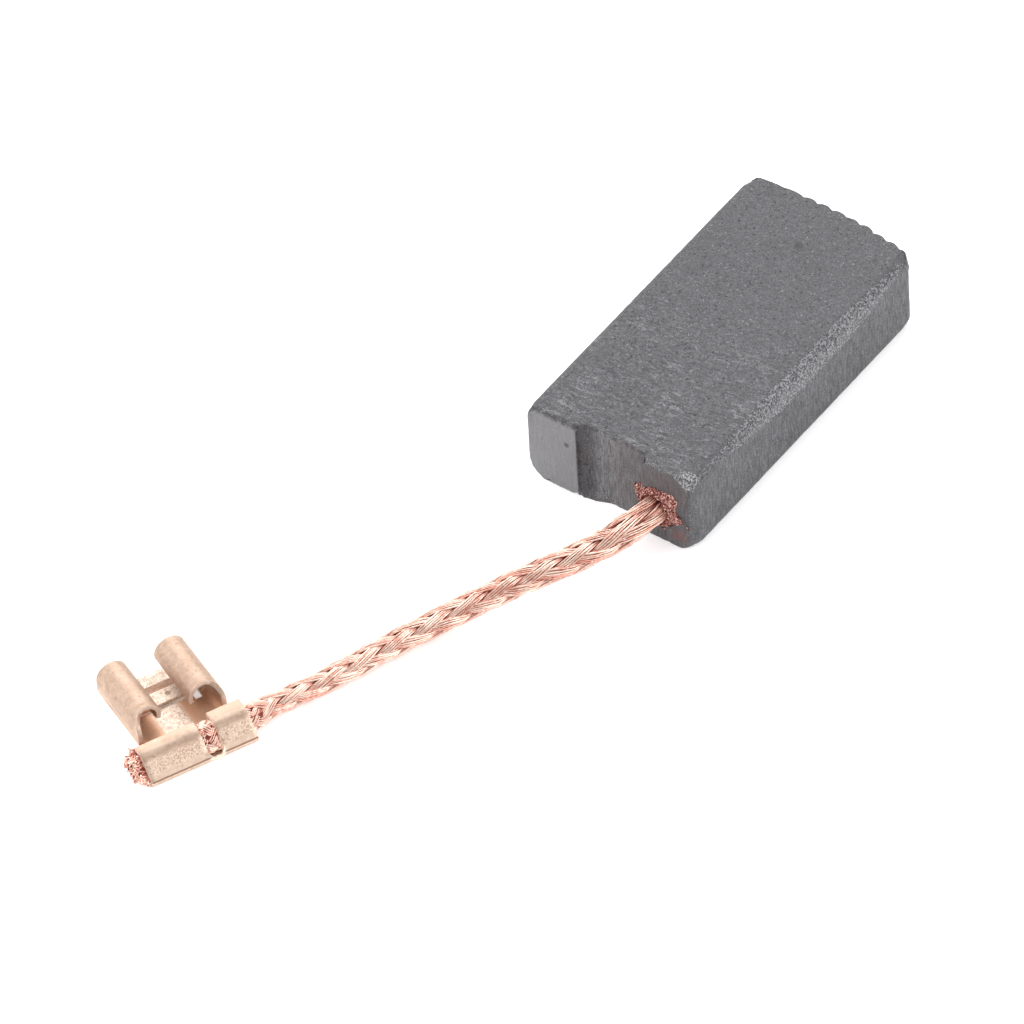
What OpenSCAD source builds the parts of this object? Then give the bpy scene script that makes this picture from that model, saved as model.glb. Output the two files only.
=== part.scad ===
// Carbon brush for a power-tool motor: a pressed graphite block, a braided
// copper pigtail tamped into it, and a folded brass flag receptacle crimped
// on the pigtail's far end. Millimetres, +Z up, origin under the block's centre.
// +X points at the contact end, which runs on the commutator.

/* [Carbon block] */
// Length from the wire end to the ridges of the contact end
block_l = 24.4; // [22:0.1:32]
// Width across the brush holder
block_w = 12.5; // [12.5:0.1:18]
// Thickness through the brush holder
block_t = 6.15; // [5.8:0.05:10]
// Radius of the two upper long edges
top_edge_r = 0.7; // [0.2:0.05:1.2]
// Radius of the lower long edge beside the smooth ear
ear_edge_r = 1.8; // [0.4:0.05:2.4]
// Radius of the lower long edge beside the wire
wire_edge_r = 0.8; // [0.2:0.05:1.2]
// Radius of the upright corners at the contact end
contact_corner_r = 0.6; // [0.2:0.05:1.2]
// Radius of the upright corners at the wire end
wire_corner_r = 0.5; // [0.1:0.05:1]

/* [Contact end] */
// Distance from one run-in ridge to the next
ridge_pitch = 1.08; // [0.7:0.02:1.6]
// Height of a run-in ridge over the valley beside it
ridge_h = 0.18; // [0.05:0.01:0.3]
// Number of run-in ridges, counted from the wire side
ridge_count = 9; // [3:1:10]
// Distance of the first ridge's crest from the wire side of the block
ridge_margin = 0.38; // [0:0.02:1]
// Radius of the slight crown of the contact end
crown_r = 48; // [30:1:200]
// Sideways place of the crown's highest point
crown_y = 0.8; // [-2:0.1:2]

/* [Wire end] */
// Width of the smooth ear beside the spring groove
ear_w = 3.75; // [2.5:0.05:4.5]
// How far the ear stands back from the wire side's face
ear_recess = 0.1; // [0:0.02:0.4]
// Width of the spring groove
groove_w = 4.85; // [3:0.05:5.5]
// Depth of the spring groove under the wire side's face
groove_depth = 0.76; // [0.3:0.02:1.5]
// Radius of the fillet at the groove's ear side
groove_fillet_r = 0.55; // [0.1:0.05:0.6]

/* [Wire hole] */
// Diameter of the drilled hole that holds the tamped wire
hole_d = 3; // [2.4:0.1:3.6]
// Depth of the hole's straight wall
hole_depth = 8.5; // [7.5:0.1:12]
// Point angle of the drill
drill_angle = 118; // [90:1:140]

/* [Pigtail] */
// Diameter of the braid beside the block
braid_d = 1.9; // [1.4:0.05:2]
// Diameter of the braid before the terminal
braid_end_d = 1.4; // [1.2:0.05:1.6]
// Width of the braid where the crimp presses it flat
pressed_w = 1.8; // [1.4:0.05:1.9]
// Width of the cut end, where the wires splay
splayed_w = 2.4; // [1.9:0.05:2.6]
// Clearance round the wire where a piece holds it
wire_gap = 0.02; // [0.01:0.01:0.05]

/* [Terminal crimp] */
// Thickness of the brass sheet
sheet_t = 0.3; // [0.2:0.01:0.4]
// Width of the crimp over both straps
crimp_w = 7.3; // [6.9:0.05:8]
// Width of the wide conductor strap
wide_strap_w = 4; // [3:0.05:4.4]
// Slot between the two straps
strap_slot_w = 1.05; // [0.6:0.05:1.4]
// Height of the slot's closed end above the table
slot_end_z = 0.45; // [0.35:0.05:0.9]
// Height over the folded straps
crimp_h = 1.72; // [1.6:0.02:1.9]
// Rise of a strap from its front fold, in degrees
strap_slope = 43; // [38:1:50]
// Radius of a strap's crown over the wire, outside
crown_fold_r = 1.6; // [1.2:0.05:1.8]
// Radius of the tight front fold, inside
heel_inside_r = 0.02; // [0.02:0.01:0.1]
// How far the wide strap runs on level behind its crown
wide_strap_flat = 0.17; // [0.05:0.01:0.4]
// How far the narrow strap runs on level behind its crown
narrow_strap_flat = 0.42; // [0.05:0.01:0.6]

/* [Terminal receptacle] */
// Width over the two rolls
receptacle_w = 6.1; // [5.8:0.05:6.4]
// Distance of the receptacle's centre line from the crimp's free end
receptacle_u = 3.82; // [3.6:0.02:4]
// Radius of a roll's round top, outside
roll_r = 1.05; // [0.9:0.05:1.25]
// Height over the rolls
roll_h = 2.5; // [2.2:0.05:2.9]
// Radius of the bend between the floor and a roll's wall, outside
floor_bend_r = 0.7; // [0.5:0.05:0.9]
// How far below level a roll's free edge curls down, in degrees
free_edge_dip = 25; // [5:1:40]
// Distance from the front fold to the mating end of the rolls
terminal_l = 8.5; // [8.3:0.05:9.5]
// How far the floor stops short of the rolls' mating end
floor_setback = 0.2; // [0:0.05:0.8]
// Distance from the front fold to the near end of the rolls' tops
roll_start = 4.1; // [3.8:0.05:4.6]
// Distance from the front fold to the near end of the rolls' walls
wall_start = 3.15; // [2.7:0.05:3.4]
// How far down the side of a roll its slanted near end reaches
roll_end_drop = 0.3; // [0:0.05:0.5]
// Width of the sprung tongue cut out of the floor
tongue_w = 4.2; // [1.8:0.1:4.2]
// Length of the tongue's raised pad
tongue_pad_l = 1.1; // [0.7:0.05:1.2]
// Length of the tongue's ramp, from the pad down to the floor
tongue_ramp_l = 0.75; // [0.5:0.05:0.9]
// Rise of the tongue's pad over the floor
tongue_rise = 0.25; // [0.1:0.01:0.3]
// Length of the plain floor beyond the tongue's ramp
floor_lip_l = 0.95; // [0.5:0.05:1.2]
// Width of the cut along each side of the tongue
tongue_cut_w = 0.25; // [0.1:0.01:0.3]
// Width of the cut across the tongue's free end
end_cut_w = 0.35; // [0.2:0.05:0.5]
// Diameter of the tongue's coined dimple
dimple_d = 0.5; // [0.3:0.05:0.7]
// Depth of the tongue's coined dimple
dimple_depth = 0.12; // [0.05:0.01:0.15]

/* [Hidden] */
$fn = 96;
eps = 0.01;
// How far a cutting shape runs past what it cuts
past = 1;

wire_face_x = -block_l / 2;
contact_x = block_l / 2;
ear_face_x = wire_face_x + ear_recess;
groove_floor_x = wire_face_x + groove_depth;
ear_inner_y = block_w / 2 - ear_w;
groove_low_y = ear_inner_y - groove_w;
first_ridge_y = -block_w / 2 + ridge_margin;
last_ridge_y = first_ridge_y + (ridge_count - 1) * ridge_pitch;

// Where the terminal lies, from the middle of the block's wire end: its front
// corner on the table, and its turn
terminal_at = [-33.87, 9.95, 0];
terminal_turn = -25;
heel_r = sheet_t + heel_inside_r;
crown_z = crimp_h - crown_fold_r;
crown_v = heel_r
    + (cos(strap_slope) * (crown_z - heel_r) + crown_fold_r - heel_r) / sin(strap_slope);
roll_top_z = roll_h - roll_r;
roll_left_u = receptacle_u - receptacle_w / 2;
floor_end = terminal_l - floor_setback;
tongue_foot = floor_end - floor_lip_l;
tongue_free = tongue_foot - tongue_ramp_l - tongue_pad_l;
tongue_u = receptacle_u - tongue_w / 2;

// The braid's route: [x, y, z, flatness], from inside the block to the cut end,
// with x measured from the block's wire end. Flatness is 0 where the braid is
// round, 1 where the crimp presses it flat and 2 where its cut wires splay.
ROUTE = [
    [8, -3.45, 2.7, 0],
    [4, -3.45, 2.7, 0],
    [0.2, -3.45, 2.7, 0],
    [-0.9, -3.35, 2.65, 0],
    [-2.3, -2.95, 2.5, 0],
    [-4.2, -2.2, 2.25, 0],
    [-6.1, -1.2, 2, 0],
    [-8.3, 0.15, 1.7, 0],
    [-10.7, 1.5, 1.4, 0],
    [-13.1, 2.7, 1.15, 0],
    [-15.5, 3.75, 1, 0],
    [-17.9, 4.7, 0.9, 0],
    [-20.3, 5.6, 0.8, 0],
    [-22.5, 6.55, 0.75, 0],
    [-24.5, 7.45, 0.75, 0.1],
    [-25.9, 7.95, 0.85, 0.8],
    [-26.9, 8.35, 0.85, 1],
    [-28.2, 8.87, 0.85, 1],
    [-30, 9.7, 0.85, 1],
    [-31.75, 10.5, 0.85, 1],
    [-33.3, 11.2, 0.85, 1],
    [-34, 11.55, 0.85, 2]
];
// The hole is drilled where the braid leaves the block
hole_y = ROUTE[0][1];
hole_z = ROUTE[0][2];
// The braid thins between these two of its points
THINS_FROM = 3;
THINS_TO = 14;
BRAID_SIDES = 8;

function mix(a, b, t) = a * (1 - t) + b * t;
function unit(v) = v / norm(v);
function level(v) = unit([v[0], v[1], 0]);

// ---- carbon block ----

// The corner of a square with the given radius, to be cut away
module corner_cut(r) {
    difference() {
        translate([-eps, -eps]) square(r + eps);
        translate([r, r]) circle(r);
    }
}

// Section across the block, seen along X: its long edges are rounded
module block_section() {
    difference() {
        translate([-block_w / 2, 0]) square([block_w, block_t]);
        translate([-block_w / 2, 0]) corner_cut(wire_edge_r);
        translate([block_w / 2, 0]) mirror([1, 0]) corner_cut(ear_edge_r);
        for (side = [-1, 1])
            translate([side * block_w / 2, block_t])
                mirror([side > 0 ? 1 : 0, 0]) mirror([0, 1]) corner_cut(top_edge_r);
    }
}

// One run-in ridge is a round bar whose crest touches the crowned contact end
module contact_ridges() {
    ridge_r = ridge_pitch * ridge_pitch / (8 * ridge_h) + ridge_h / 2;
    for (i = [0 : ridge_count - 1]) {
        y = first_ridge_y + i * ridge_pitch;
        crest_x = contact_x - pow(y - crown_y, 2) / (2 * crown_r);
        translate([crest_x - ridge_r, y]) circle(ridge_r);
    }
}

// The contact end is smooth from the last ridge to the ear side
module plain_crown() {
    intersection() {
        translate([contact_x - crown_r, crown_y]) circle(crown_r, $fn = 720);
        translate([0, last_ridge_y]) square([contact_x, block_w / 2 - last_ridge_y]);
    }
}

// Spring groove across the wire end, with a fillet at the foot of its ear side
module groove_cut() {
    f = min(groove_fillet_r, groove_depth - ear_recess);
    difference() {
        translate([wire_face_x - eps, groove_low_y]) square([groove_depth + eps, groove_w]);
        translate([groove_floor_x, ear_inner_y]) mirror([1, 0]) mirror([0, 1]) corner_cut(f);
    }
}

// Plan of the block: crowned and ridged contact end, ear, groove and wire side
module block_plan() {
    difference() {
        intersection() {
            translate([wire_face_x, -block_w / 2]) square([block_l, block_w]);
            union() {
                translate([contact_x - ridge_h - crown_r, crown_y]) circle(crown_r, $fn = 720);
                contact_ridges();
                plain_crown();
            }
        }
        for (side = [-1, 1])
            translate([contact_x, side * block_w / 2])
                mirror([1, 0]) mirror([0, side > 0 ? 1 : 0]) corner_cut(contact_corner_r);
        translate([wire_face_x - eps, ear_inner_y]) square([ear_recess + eps, ear_w + eps]);
        groove_cut();
        translate([wire_face_x, -block_w / 2]) corner_cut(wire_corner_r);
        translate([ear_face_x, block_w / 2]) mirror([0, 1]) corner_cut(wire_corner_r);
    }
}

module block_outline() {
    intersection() {
        linear_extrude(block_t) block_plan();
        translate([wire_face_x - past, 0, 0])
            rotate([90, 0, 90]) linear_extrude(block_l + 2 * past) block_section();
    }
}

// The drilled hole, from well outside the wire end to the tip of the drill
module wire_hole() {
    tip = hole_d / 2 / tan(drill_angle / 2);
    translate([wire_face_x, hole_y, hole_z]) rotate([0, 90, 0]) {
        translate([0, 0, -past]) cylinder(d = hole_d, h = hole_depth + past);
        translate([0, 0, hole_depth]) cylinder(d1 = hole_d, d2 = 0, h = tip);
    }
}

module carbon_block() {
    color([0.33, 0.33, 0.35])
        difference() {
            block_outline();
            wire_hole();
        }
}

// Copper powder rammed round the wire: it fills the hole and ends flush
module copper_tamping() {
    bore_l = ROUTE[0][0] + wire_gap;
    color([0.68, 0.36, 0.26])
        difference() {
            intersection() {
                block_outline();
                wire_hole();
            }
            translate([wire_face_x - past, hole_y, hole_z]) rotate([0, 90, 0])
                cylinder(d = braid_d + 2 * wire_gap, h = bore_l + past);
        }
}

// ---- pigtail ----

// Direction of the route at a point, from its neighbours
function heading(i) =
    let (a = ROUTE[max(i - 1, 0)], b = ROUTE[min(i + 1, len(ROUTE) - 1)])
    unit([b[0] - a[0], b[1] - a[1], b[2] - a[2]]);

// One ring of the braid's outline: round, or flat where it is pressed
function braid_ring(i) =
    let (
        p = ROUTE[i],
        along = heading(i),
        side = level([-along[1], along[0], 0]),
        up = cross(along, side),
        thinned = max(0, min(1, (i - THINS_FROM) / (THINS_TO - THINS_FROM))),
        round_r = mix(braid_d, braid_end_d, thinned) / 2,
        flat = min(p[3], 1),
        half_w = mix(mix(round_r, pressed_w / 2, flat), splayed_w / 2, p[3] - flat),
        middle = [wire_face_x + p[0], p[1], mix(p[2], crimp_h / 2, flat)],
        half_h = mix(round_r, crimp_h / 2 - sheet_t - 2 * wire_gap, flat),
        // An outline through the sides' middles keeps the pressed braid's full size
        grow = mix(1, 1 / cos(180 / BRAID_SIDES), flat)
    )
    [for (k = [0 : BRAID_SIDES - 1])
        let (a = 360 * (k + 0.5) / BRAID_SIDES)
        middle + side * half_w * grow * cos(a) + up * half_h * grow * sin(a)];

module pigtail() {
    n = BRAID_SIDES;
    rings = len(ROUTE);
    points = [for (i = [0 : rings - 1]) each braid_ring(i)];
    walls = [for (i = [0 : rings - 2], k = [0 : n - 1])
        [i * n + k, i * n + (k + 1) % n, (i + 1) * n + (k + 1) % n, (i + 1) * n + k]];
    first_cap = [[for (k = [n - 1 : -1 : 0]) k]];
    last_cap = [[for (k = [0 : n - 1]) (rings - 1) * n + k]];
    color([0.85, 0.55, 0.43])
        difference() {
            polyhedron(points = points, faces = concat(walls, first_cap, last_cap), convexity = 4);
            in_terminal_frame() crimp_shape();
        }
}

// The straps' slope and crown, with the clearance under them, which shape the wire
module crimp_shape() {
    r = crown_fold_r - sheet_t - wire_gap;
    bend = [crown_v - r * sin(strap_slope), crown_z + r * cos(strap_slope)];
    foot = bend - bend[1] / sin(strap_slope) * [cos(strap_slope), sin(strap_slope)];
    along_u(-wire_gap, crimp_w + wire_gap)
        difference() {
            translate([-past, 0]) square([crown_v + past, crimp_h + past]);
            polygon([bend, foot, [crown_v + eps, 0], [crown_v + eps, crown_z + r]]);
            translate([crown_v, crown_z]) circle(r);
        }
}

// ---- terminal ----
// Its own frame: u runs along the crimped wire, v from the front fold to the
// mating end, z up. The sheet's underside lies at z = 0.

// Part of a ring of sheet, from angle a0 to angle a1
module sheet_arc(r, a0, a1) {
    steps = max(2, ceil((a1 - a0) / 60));
    wedge = [for (k = [0 : steps]) let (a = mix(a0, a1, k / steps)) 2 * r * [cos(a), sin(a)]];
    intersection() {
        difference() {
            circle(r);
            circle(r - sheet_t);
        }
        polygon(concat([[0, 0]], wedge));
    }
}

// Section of a strap, seen along u: floor, tight front fold, slope, crown and
// the level part behind it
module strap_section(flat_l) {
    slope_l = cos(strap_slope) * (crown_v - heel_r) + sin(strap_slope) * (crown_z - heel_r);
    translate([heel_r, 0]) square([wall_start - heel_r, sheet_t]);
    translate([heel_r, heel_r]) {
        sheet_arc(heel_r, 90 + strap_slope, 270);
        rotate(strap_slope) translate([0, heel_inside_r]) square([slope_l, sheet_t]);
    }
    translate([crown_v, crown_z]) sheet_arc(crown_fold_r, 90, 90 + strap_slope);
    translate([crown_v, crimp_h - sheet_t]) square([flat_l, sheet_t]);
}

// Section of one wall and roll, seen along v, with its outside at u = 0
module roll_section() {
    translate([floor_bend_r, floor_bend_r]) sheet_arc(floor_bend_r, 180, 270);
    translate([0, floor_bend_r]) square([sheet_t, roll_top_z - floor_bend_r]);
    translate([roll_r, roll_top_z]) sheet_arc(roll_r, -free_edge_dip, 180);
}

module receptacle_section() {
    roll_section();
    translate([receptacle_w, 0]) mirror([1, 0]) roll_section();
    translate([floor_bend_r, 0]) square([receptacle_w - 2 * floor_bend_r, sheet_t]);
}

// Extrudes a u-z section along v, from v0 to v1
module along_v(v0, v1) {
    translate([0, v1, 0]) rotate([90, 0, 0]) linear_extrude(v1 - v0) children();
}

// Extrudes a v-z section along u, from u0 to u1
module along_u(u0, u1) {
    translate([u0, 0, 0]) rotate([90, 0, 90]) linear_extrude(u1 - u0) children();
}

// What the oblique near end of the rolls leaves out
module roll_end_cut() {
    top = roll_h + past;
    slope = [
        [wall_start - past, roll_top_z - roll_end_drop],
        [wall_start, roll_top_z - roll_end_drop],
        [roll_start, roll_h],
        [roll_start, top],
        [wall_start - past, top]
    ];
    along_u(roll_left_u - past, roll_left_u + receptacle_w + past) polygon(slope);
    translate([roll_left_u + roll_r, wall_start - past, sheet_t + eps])
        cube([receptacle_w - 2 * roll_r, roll_start - wall_start + past, top]);
}

// The three cuts that free the tongue, and the room under its ramp and pad
module tongue_cuts() {
    span = tongue_w + 2 * tongue_cut_w;
    translate([receptacle_u - span / 2, tongue_free - end_cut_w, -past])
        cube([span, tongue_foot - tongue_free + end_cut_w, past + sheet_t + eps]);
}

// The sprung tongue: a ramp up from the floor and a raised, dimpled pad
module tongue() {
    pad_end = tongue_free + tongue_pad_l;
    difference() {
        along_u(tongue_u, tongue_u + tongue_w)
            polygon([
                [tongue_free, tongue_rise],
                [pad_end, tongue_rise],
                [tongue_foot, 0],
                [tongue_foot + eps, 0],
                [tongue_foot + eps, sheet_t],
                [tongue_foot, sheet_t],
                [pad_end, sheet_t + tongue_rise],
                [tongue_free, sheet_t + tongue_rise]
            ]);
        translate([receptacle_u, tongue_free + tongue_pad_l / 2, sheet_t + tongue_rise - dimple_depth])
            cylinder(d = dimple_d, h = past);
    }
}

// The whole blank, folded, before its slots and end cuts
module folded_sheet() {
    along_u(0, wide_strap_w + strap_slot_w) strap_section(wide_strap_flat);
    along_u(wide_strap_w, crimp_w) strap_section(narrow_strap_flat);
    translate([roll_left_u, 0, 0]) along_v(wall_start - eps, terminal_l) receptacle_section();
}

module in_terminal_frame() {
    translate([wire_face_x, 0, 0] + terminal_at) rotate([0, 0, terminal_turn]) children();
}

module terminal() {
    deepest_strap = crown_v + max(wide_strap_flat, narrow_strap_flat);
    color([0.86, 0.72, 0.55])
        in_terminal_frame() {
            difference() {
                folded_sheet();
                translate([wide_strap_w, -past, slot_end_z])
                    cube([strap_slot_w, deepest_strap + past + eps, crimp_h]);
                roll_end_cut();
                tongue_cuts();
                translate([roll_left_u + floor_bend_r, floor_end, -past])
                    cube([
                        receptacle_w - 2 * floor_bend_r,
                        floor_setback + past,
                        past + sheet_t + eps
                    ]);
            }
            tongue();
        }
}

carbon_block();
copper_tamping();
pigtail();
terminal();
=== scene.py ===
"""The looks of a carbon brush: graphite block, rammed copper, braided pigtail, folded receptacle.

Shapes are worked out in millimetres and made in metres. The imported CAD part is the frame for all.
"""

import math

import bmesh
import bpy
from mathutils import Matrix, Vector, noise


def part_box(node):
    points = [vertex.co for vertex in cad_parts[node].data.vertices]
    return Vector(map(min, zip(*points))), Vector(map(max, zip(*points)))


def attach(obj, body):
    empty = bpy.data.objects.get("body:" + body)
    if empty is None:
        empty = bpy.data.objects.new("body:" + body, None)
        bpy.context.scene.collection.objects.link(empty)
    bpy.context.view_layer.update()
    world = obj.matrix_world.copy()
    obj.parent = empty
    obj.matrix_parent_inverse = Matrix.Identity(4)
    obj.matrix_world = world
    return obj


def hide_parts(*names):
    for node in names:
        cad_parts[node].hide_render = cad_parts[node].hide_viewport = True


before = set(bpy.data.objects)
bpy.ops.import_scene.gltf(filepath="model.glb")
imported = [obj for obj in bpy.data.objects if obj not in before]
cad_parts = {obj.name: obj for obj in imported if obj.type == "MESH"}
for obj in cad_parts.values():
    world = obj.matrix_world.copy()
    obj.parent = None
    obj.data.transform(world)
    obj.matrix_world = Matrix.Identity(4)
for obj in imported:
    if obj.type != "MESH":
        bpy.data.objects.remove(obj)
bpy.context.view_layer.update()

MM = 0.001


# ---------------------------------------------------------------- sizes, in millimetres

def node_box(node):
    low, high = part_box(node)
    return low / MM, high / MM


block_low, block_high = node_box("carbon_block")
hole_low, hole_high = node_box("copper_tamping")

WIRE_X = block_low.x
CONTACT_X = block_high.x
HALF_W = block_high.y
BLOCK_T = block_high.z
TOP_EDGE_R = 0.7
EAR_EDGE_R = 1.8
WIRE_EDGE_R = 0.8
CONTACT_CORNER_R = 0.6
WIRE_CORNER_R = 0.5
EAR_CORNER_R = 0.12

EAR_RECESS = 0.1
EAR_INNER_Y = HALF_W - 3.75
GROOVE_LOW_Y = EAR_INNER_Y - 4.85
GROOVE_DEPTH = 0.76
GROOVE_FILLET_R = 0.55

RIDGE_PITCH = 1.08
RIDGE_H = 0.18
RIDGE_COUNT = 9
FIRST_RIDGE_Y = -HALF_W + 0.38
CROWN_R = 48
CROWN_Y = 0.8

# The ground faces lie this far inside the block's box, and no point comes nearer to its top
# or bottom than the gap
GROUND_OFF = 0.026
FACE_GAP = 0.003
# The pit on the ear, in y and z, and the dark dent in the upper face, in x and y
EAR_PIT = (3.27, 4.22)
DARK_DENT = (8.28, 0)

HOLE_D = hole_high.z - hole_low.z
HOLE_Y = hole_low.y + HOLE_D / 2
HOLE_Z = (hole_low.z + hole_high.z) / 2
HOLE_DEPTH = 8.5

WIRE_D = 0.115
BRAID_D = 1.9
BRAID_END_D = 1.4
PRESSED_W = 1.8
SPLAYED_W = 2.4
THINS_FROM = 3
THINS_TO = 14

SHEET_T = 0.3
CRIMP_W = 7.3
CRIMP_H = 1.72
STRAP_SLOPE = math.radians(43)
CROWN_FOLD_R = 1.6
HEEL_R = 0.32
WIDE_STRAP_W = 4
SLOT_W = 1.05
WIDE_FLAT = 0.17
NARROW_FLAT = 0.42
RECEPTACLE_W = 6.1
RECEPTACLE_U = 3.82
ROLL_R = 1.05
ROLL_H = 2.5
FLOOR_BEND_R = 0.7
FREE_EDGE_DIP = 25
TERMINAL_L = 8.5
FLOOR_END = TERMINAL_L - 0.2
FLOOR_LIP_L = 0.95
ROLL_START = 4.1
WALL_START = 3.15
TONGUE_W = 4.2
TONGUE_PAD_L = 1.1
TONGUE_RAMP_L = 0.75
TONGUE_RISE = 0.25
TONGUE_CUT_W = 0.25
END_CUT_W = 0.07
# The dimple in the tongue's pad, as u, v and z
DIMPLE = (4.34, 6.08, 0.55)
TERMINAL_AT = Vector((WIRE_X - 33.87, 9.95, 0))
TERMINAL_TURN = math.radians(-25)

# The braid's route: x from the block's wire end, y, z, and its flatness, which
# is 0 where it is round, 1 where the crimp presses it and 2 where its wires splay
ROUTE = [
    (8, -3.45, 2.7, 0),
    (4, -3.45, 2.7, 0),
    (0.2, -3.45, 2.7, 0),
    (-0.9, -3.35, 2.65, 0),
    (-2.3, -2.95, 2.5, 0),
    (-4.2, -2.2, 2.25, 0),
    (-6.1, -1.2, 2, 0),
    (-8.3, 0.15, 1.7, 0),
    (-10.7, 1.5, 1.4, 0),
    (-13.1, 2.7, 1.15, 0),
    (-15.5, 3.75, 1, 0),
    (-17.9, 4.7, 0.9, 0),
    (-20.3, 5.6, 0.8, 0),
    (-22.5, 6.55, 0.75, 0),
    (-24.5, 7.45, 0.75, 0.1),
    (-25.9, 7.95, 0.85, 0.8),
    (-26.9, 8.35, 0.85, 1),
    (-28.2, 8.87, 0.85, 1),
    (-30, 9.7, 0.85, 1),
    (-31.75, 10.5, 0.85, 1),
    (-33.3, 11.2, 0.85, 1),
    (-34, 11.55, 0.85, 2),
]


# ---------------------------------------------------------------- small tools

def mix(a, b, t):
    return a * (1 - t) + b * t


def clamp(t, low=0.0, high=1.0):
    return max(low, min(high, t))


def smooth(t, low=0.0, high=1.0):
    t = clamp((t - low) / (high - low))
    return t * t * (3 - 2 * t)


def window(t, rise, full, fall, end):
    """1 from full to fall, 0 before rise and after end, smooth between them."""
    return smooth(t, rise, full) * smooth(-t, -end, -fall)


def spread(low, high, count):
    return [mix(low, high, i / (count - 1)) for i in range(count)]


def round_turn(count):
    """Evenly spaced angles round a full turn."""
    return [math.tau * k / count for k in range(count)]


def arc(centre, radius, start, end, count):
    """Points round an arc, angles in degrees."""
    found = []
    for angle in spread(start, end, count):
        a = math.radians(angle)
        found.append((centre[0] + radius * math.cos(a), centre[1] + radius * math.sin(a)))
    return found


def evenly(points, count):
    """The same number of points, evenly far apart, along a line of points."""
    steps = [math.dist(a, b) for a, b in zip(points, points[1:])]
    total, found, i, before = sum(steps), [], 0, 0.0
    for k in range(count):
        at = total * k / (count - 1)
        while i < len(steps) - 1 and before + steps[i] < at:
            before += steps[i]
            i += 1
        t = clamp((at - before) / max(steps[i], 1e-9))
        found.append(tuple(mix(p, q, t) for p, q in zip(points[i], points[i + 1])))
    return found


def wobble(point, size, seed=0.0):
    """Smooth noise from -1 to 1, with bumps about as wide as size."""
    return noise.noise(Vector(point) / size + Vector((seed, seed * 1.7, seed * 0.3)))


def new_object(name, mesh, material=None):
    made = bpy.data.objects.new(name, mesh)
    bpy.context.scene.collection.objects.link(made)
    if material:
        mesh.materials.append(material)
    return made


def mesh_from_bmesh(name, bm, merge=1e-4):
    """A mesh in metres from a bmesh in millimetres, closed at its seams."""
    bmesh.ops.remove_doubles(bm, verts=bm.verts, dist=merge)
    bmesh.ops.recalc_face_normals(bm, faces=bm.faces)
    bmesh.ops.scale(bm, vec=(MM, MM, MM), verts=bm.verts)
    mesh = bpy.data.meshes.new(name)
    bm.to_mesh(mesh)
    bm.free()
    for face in mesh.polygons:
        face.use_smooth = True
    return mesh


def skin(bm, rows, looped=True, turned=False):
    """Faces between neighbouring rows of vertices, where a looped row closes on itself."""
    for low, high in zip(rows, rows[1:]):
        pairs = list(zip(low, high))
        onward = pairs[1:] + pairs[:1] if looped else pairs[1:]
        for (a, b), (c, d) in zip(pairs, onward):
            bm.faces.new((a, b, d, c) if turned else (a, c, d, b))


def apply_modifiers(obj):
    """Leaves the object with the plain mesh that its modifiers make."""
    graph = bpy.context.evaluated_depsgraph_get()
    mesh = bpy.data.meshes.new_from_object(obj.evaluated_get(graph), depsgraph=graph)
    obj.modifiers.clear()
    obj.data = mesh
    mesh.name = obj.name


# The terminal's own frame: u along the crimped wire, v from the front fold to the mating end, z up

def from_terminal(u, v, z):
    c, s = math.cos(TERMINAL_TURN), math.sin(TERMINAL_TURN)
    return TERMINAL_AT + Vector((u * c - v * s, u * s + v * c, z))


def into_terminal(x, y):
    """u and v of a place that is given in numbers or in terms of a node tree."""
    c, s = math.cos(TERMINAL_TURN), math.sin(TERMINAL_TURN)
    x, y = x - TERMINAL_AT.x, y - TERMINAL_AT.y
    return x * c + y * s, y * c - x * s


# ---------------------------------------------------------------- node trees

class Term:
    """A socket that takes part in Python expressions; each operation adds its Math node."""

    def __init__(self, net, socket):
        self.net = net
        self.socket = socket

    def maths(self, operation, *others):
        return self.net.add("ShaderNodeMath", {"operation": operation}, [self, *others])

    def __add__(self, other):
        return self.maths("ADD", other)

    def __sub__(self, other):
        return self.maths("SUBTRACT", other)

    def __mul__(self, other):
        return self.maths("MULTIPLY", other)

    def __truediv__(self, other):
        return self.maths("DIVIDE", other)

    def __rsub__(self, other):
        return self.net.add("ShaderNodeMath", {"operation": "SUBTRACT"}, [other, self])

    __radd__ = __add__
    __rmul__ = __mul__

    def above(self, low, high):
        """0 below low, 1 above high, smooth between them."""
        settings = {"interpolation_type": "SMOOTHSTEP"}
        values = {"Value": self, "From Min": low, "From Max": high}
        return self.net.add("ShaderNodeMapRange", settings, values)

    def below(self, low, high):
        return 1 - self.above(low, high)

    def between(self, rise, full, fall, end):
        return self.above(rise, full) * self.below(fall, end)

    def at_most(self, limit):
        return self.maths("MINIMUM", limit)

    def at_least(self, limit):
        return self.maths("MAXIMUM", limit)

    def size(self):
        return self.maths("ABSOLUTE")


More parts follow.
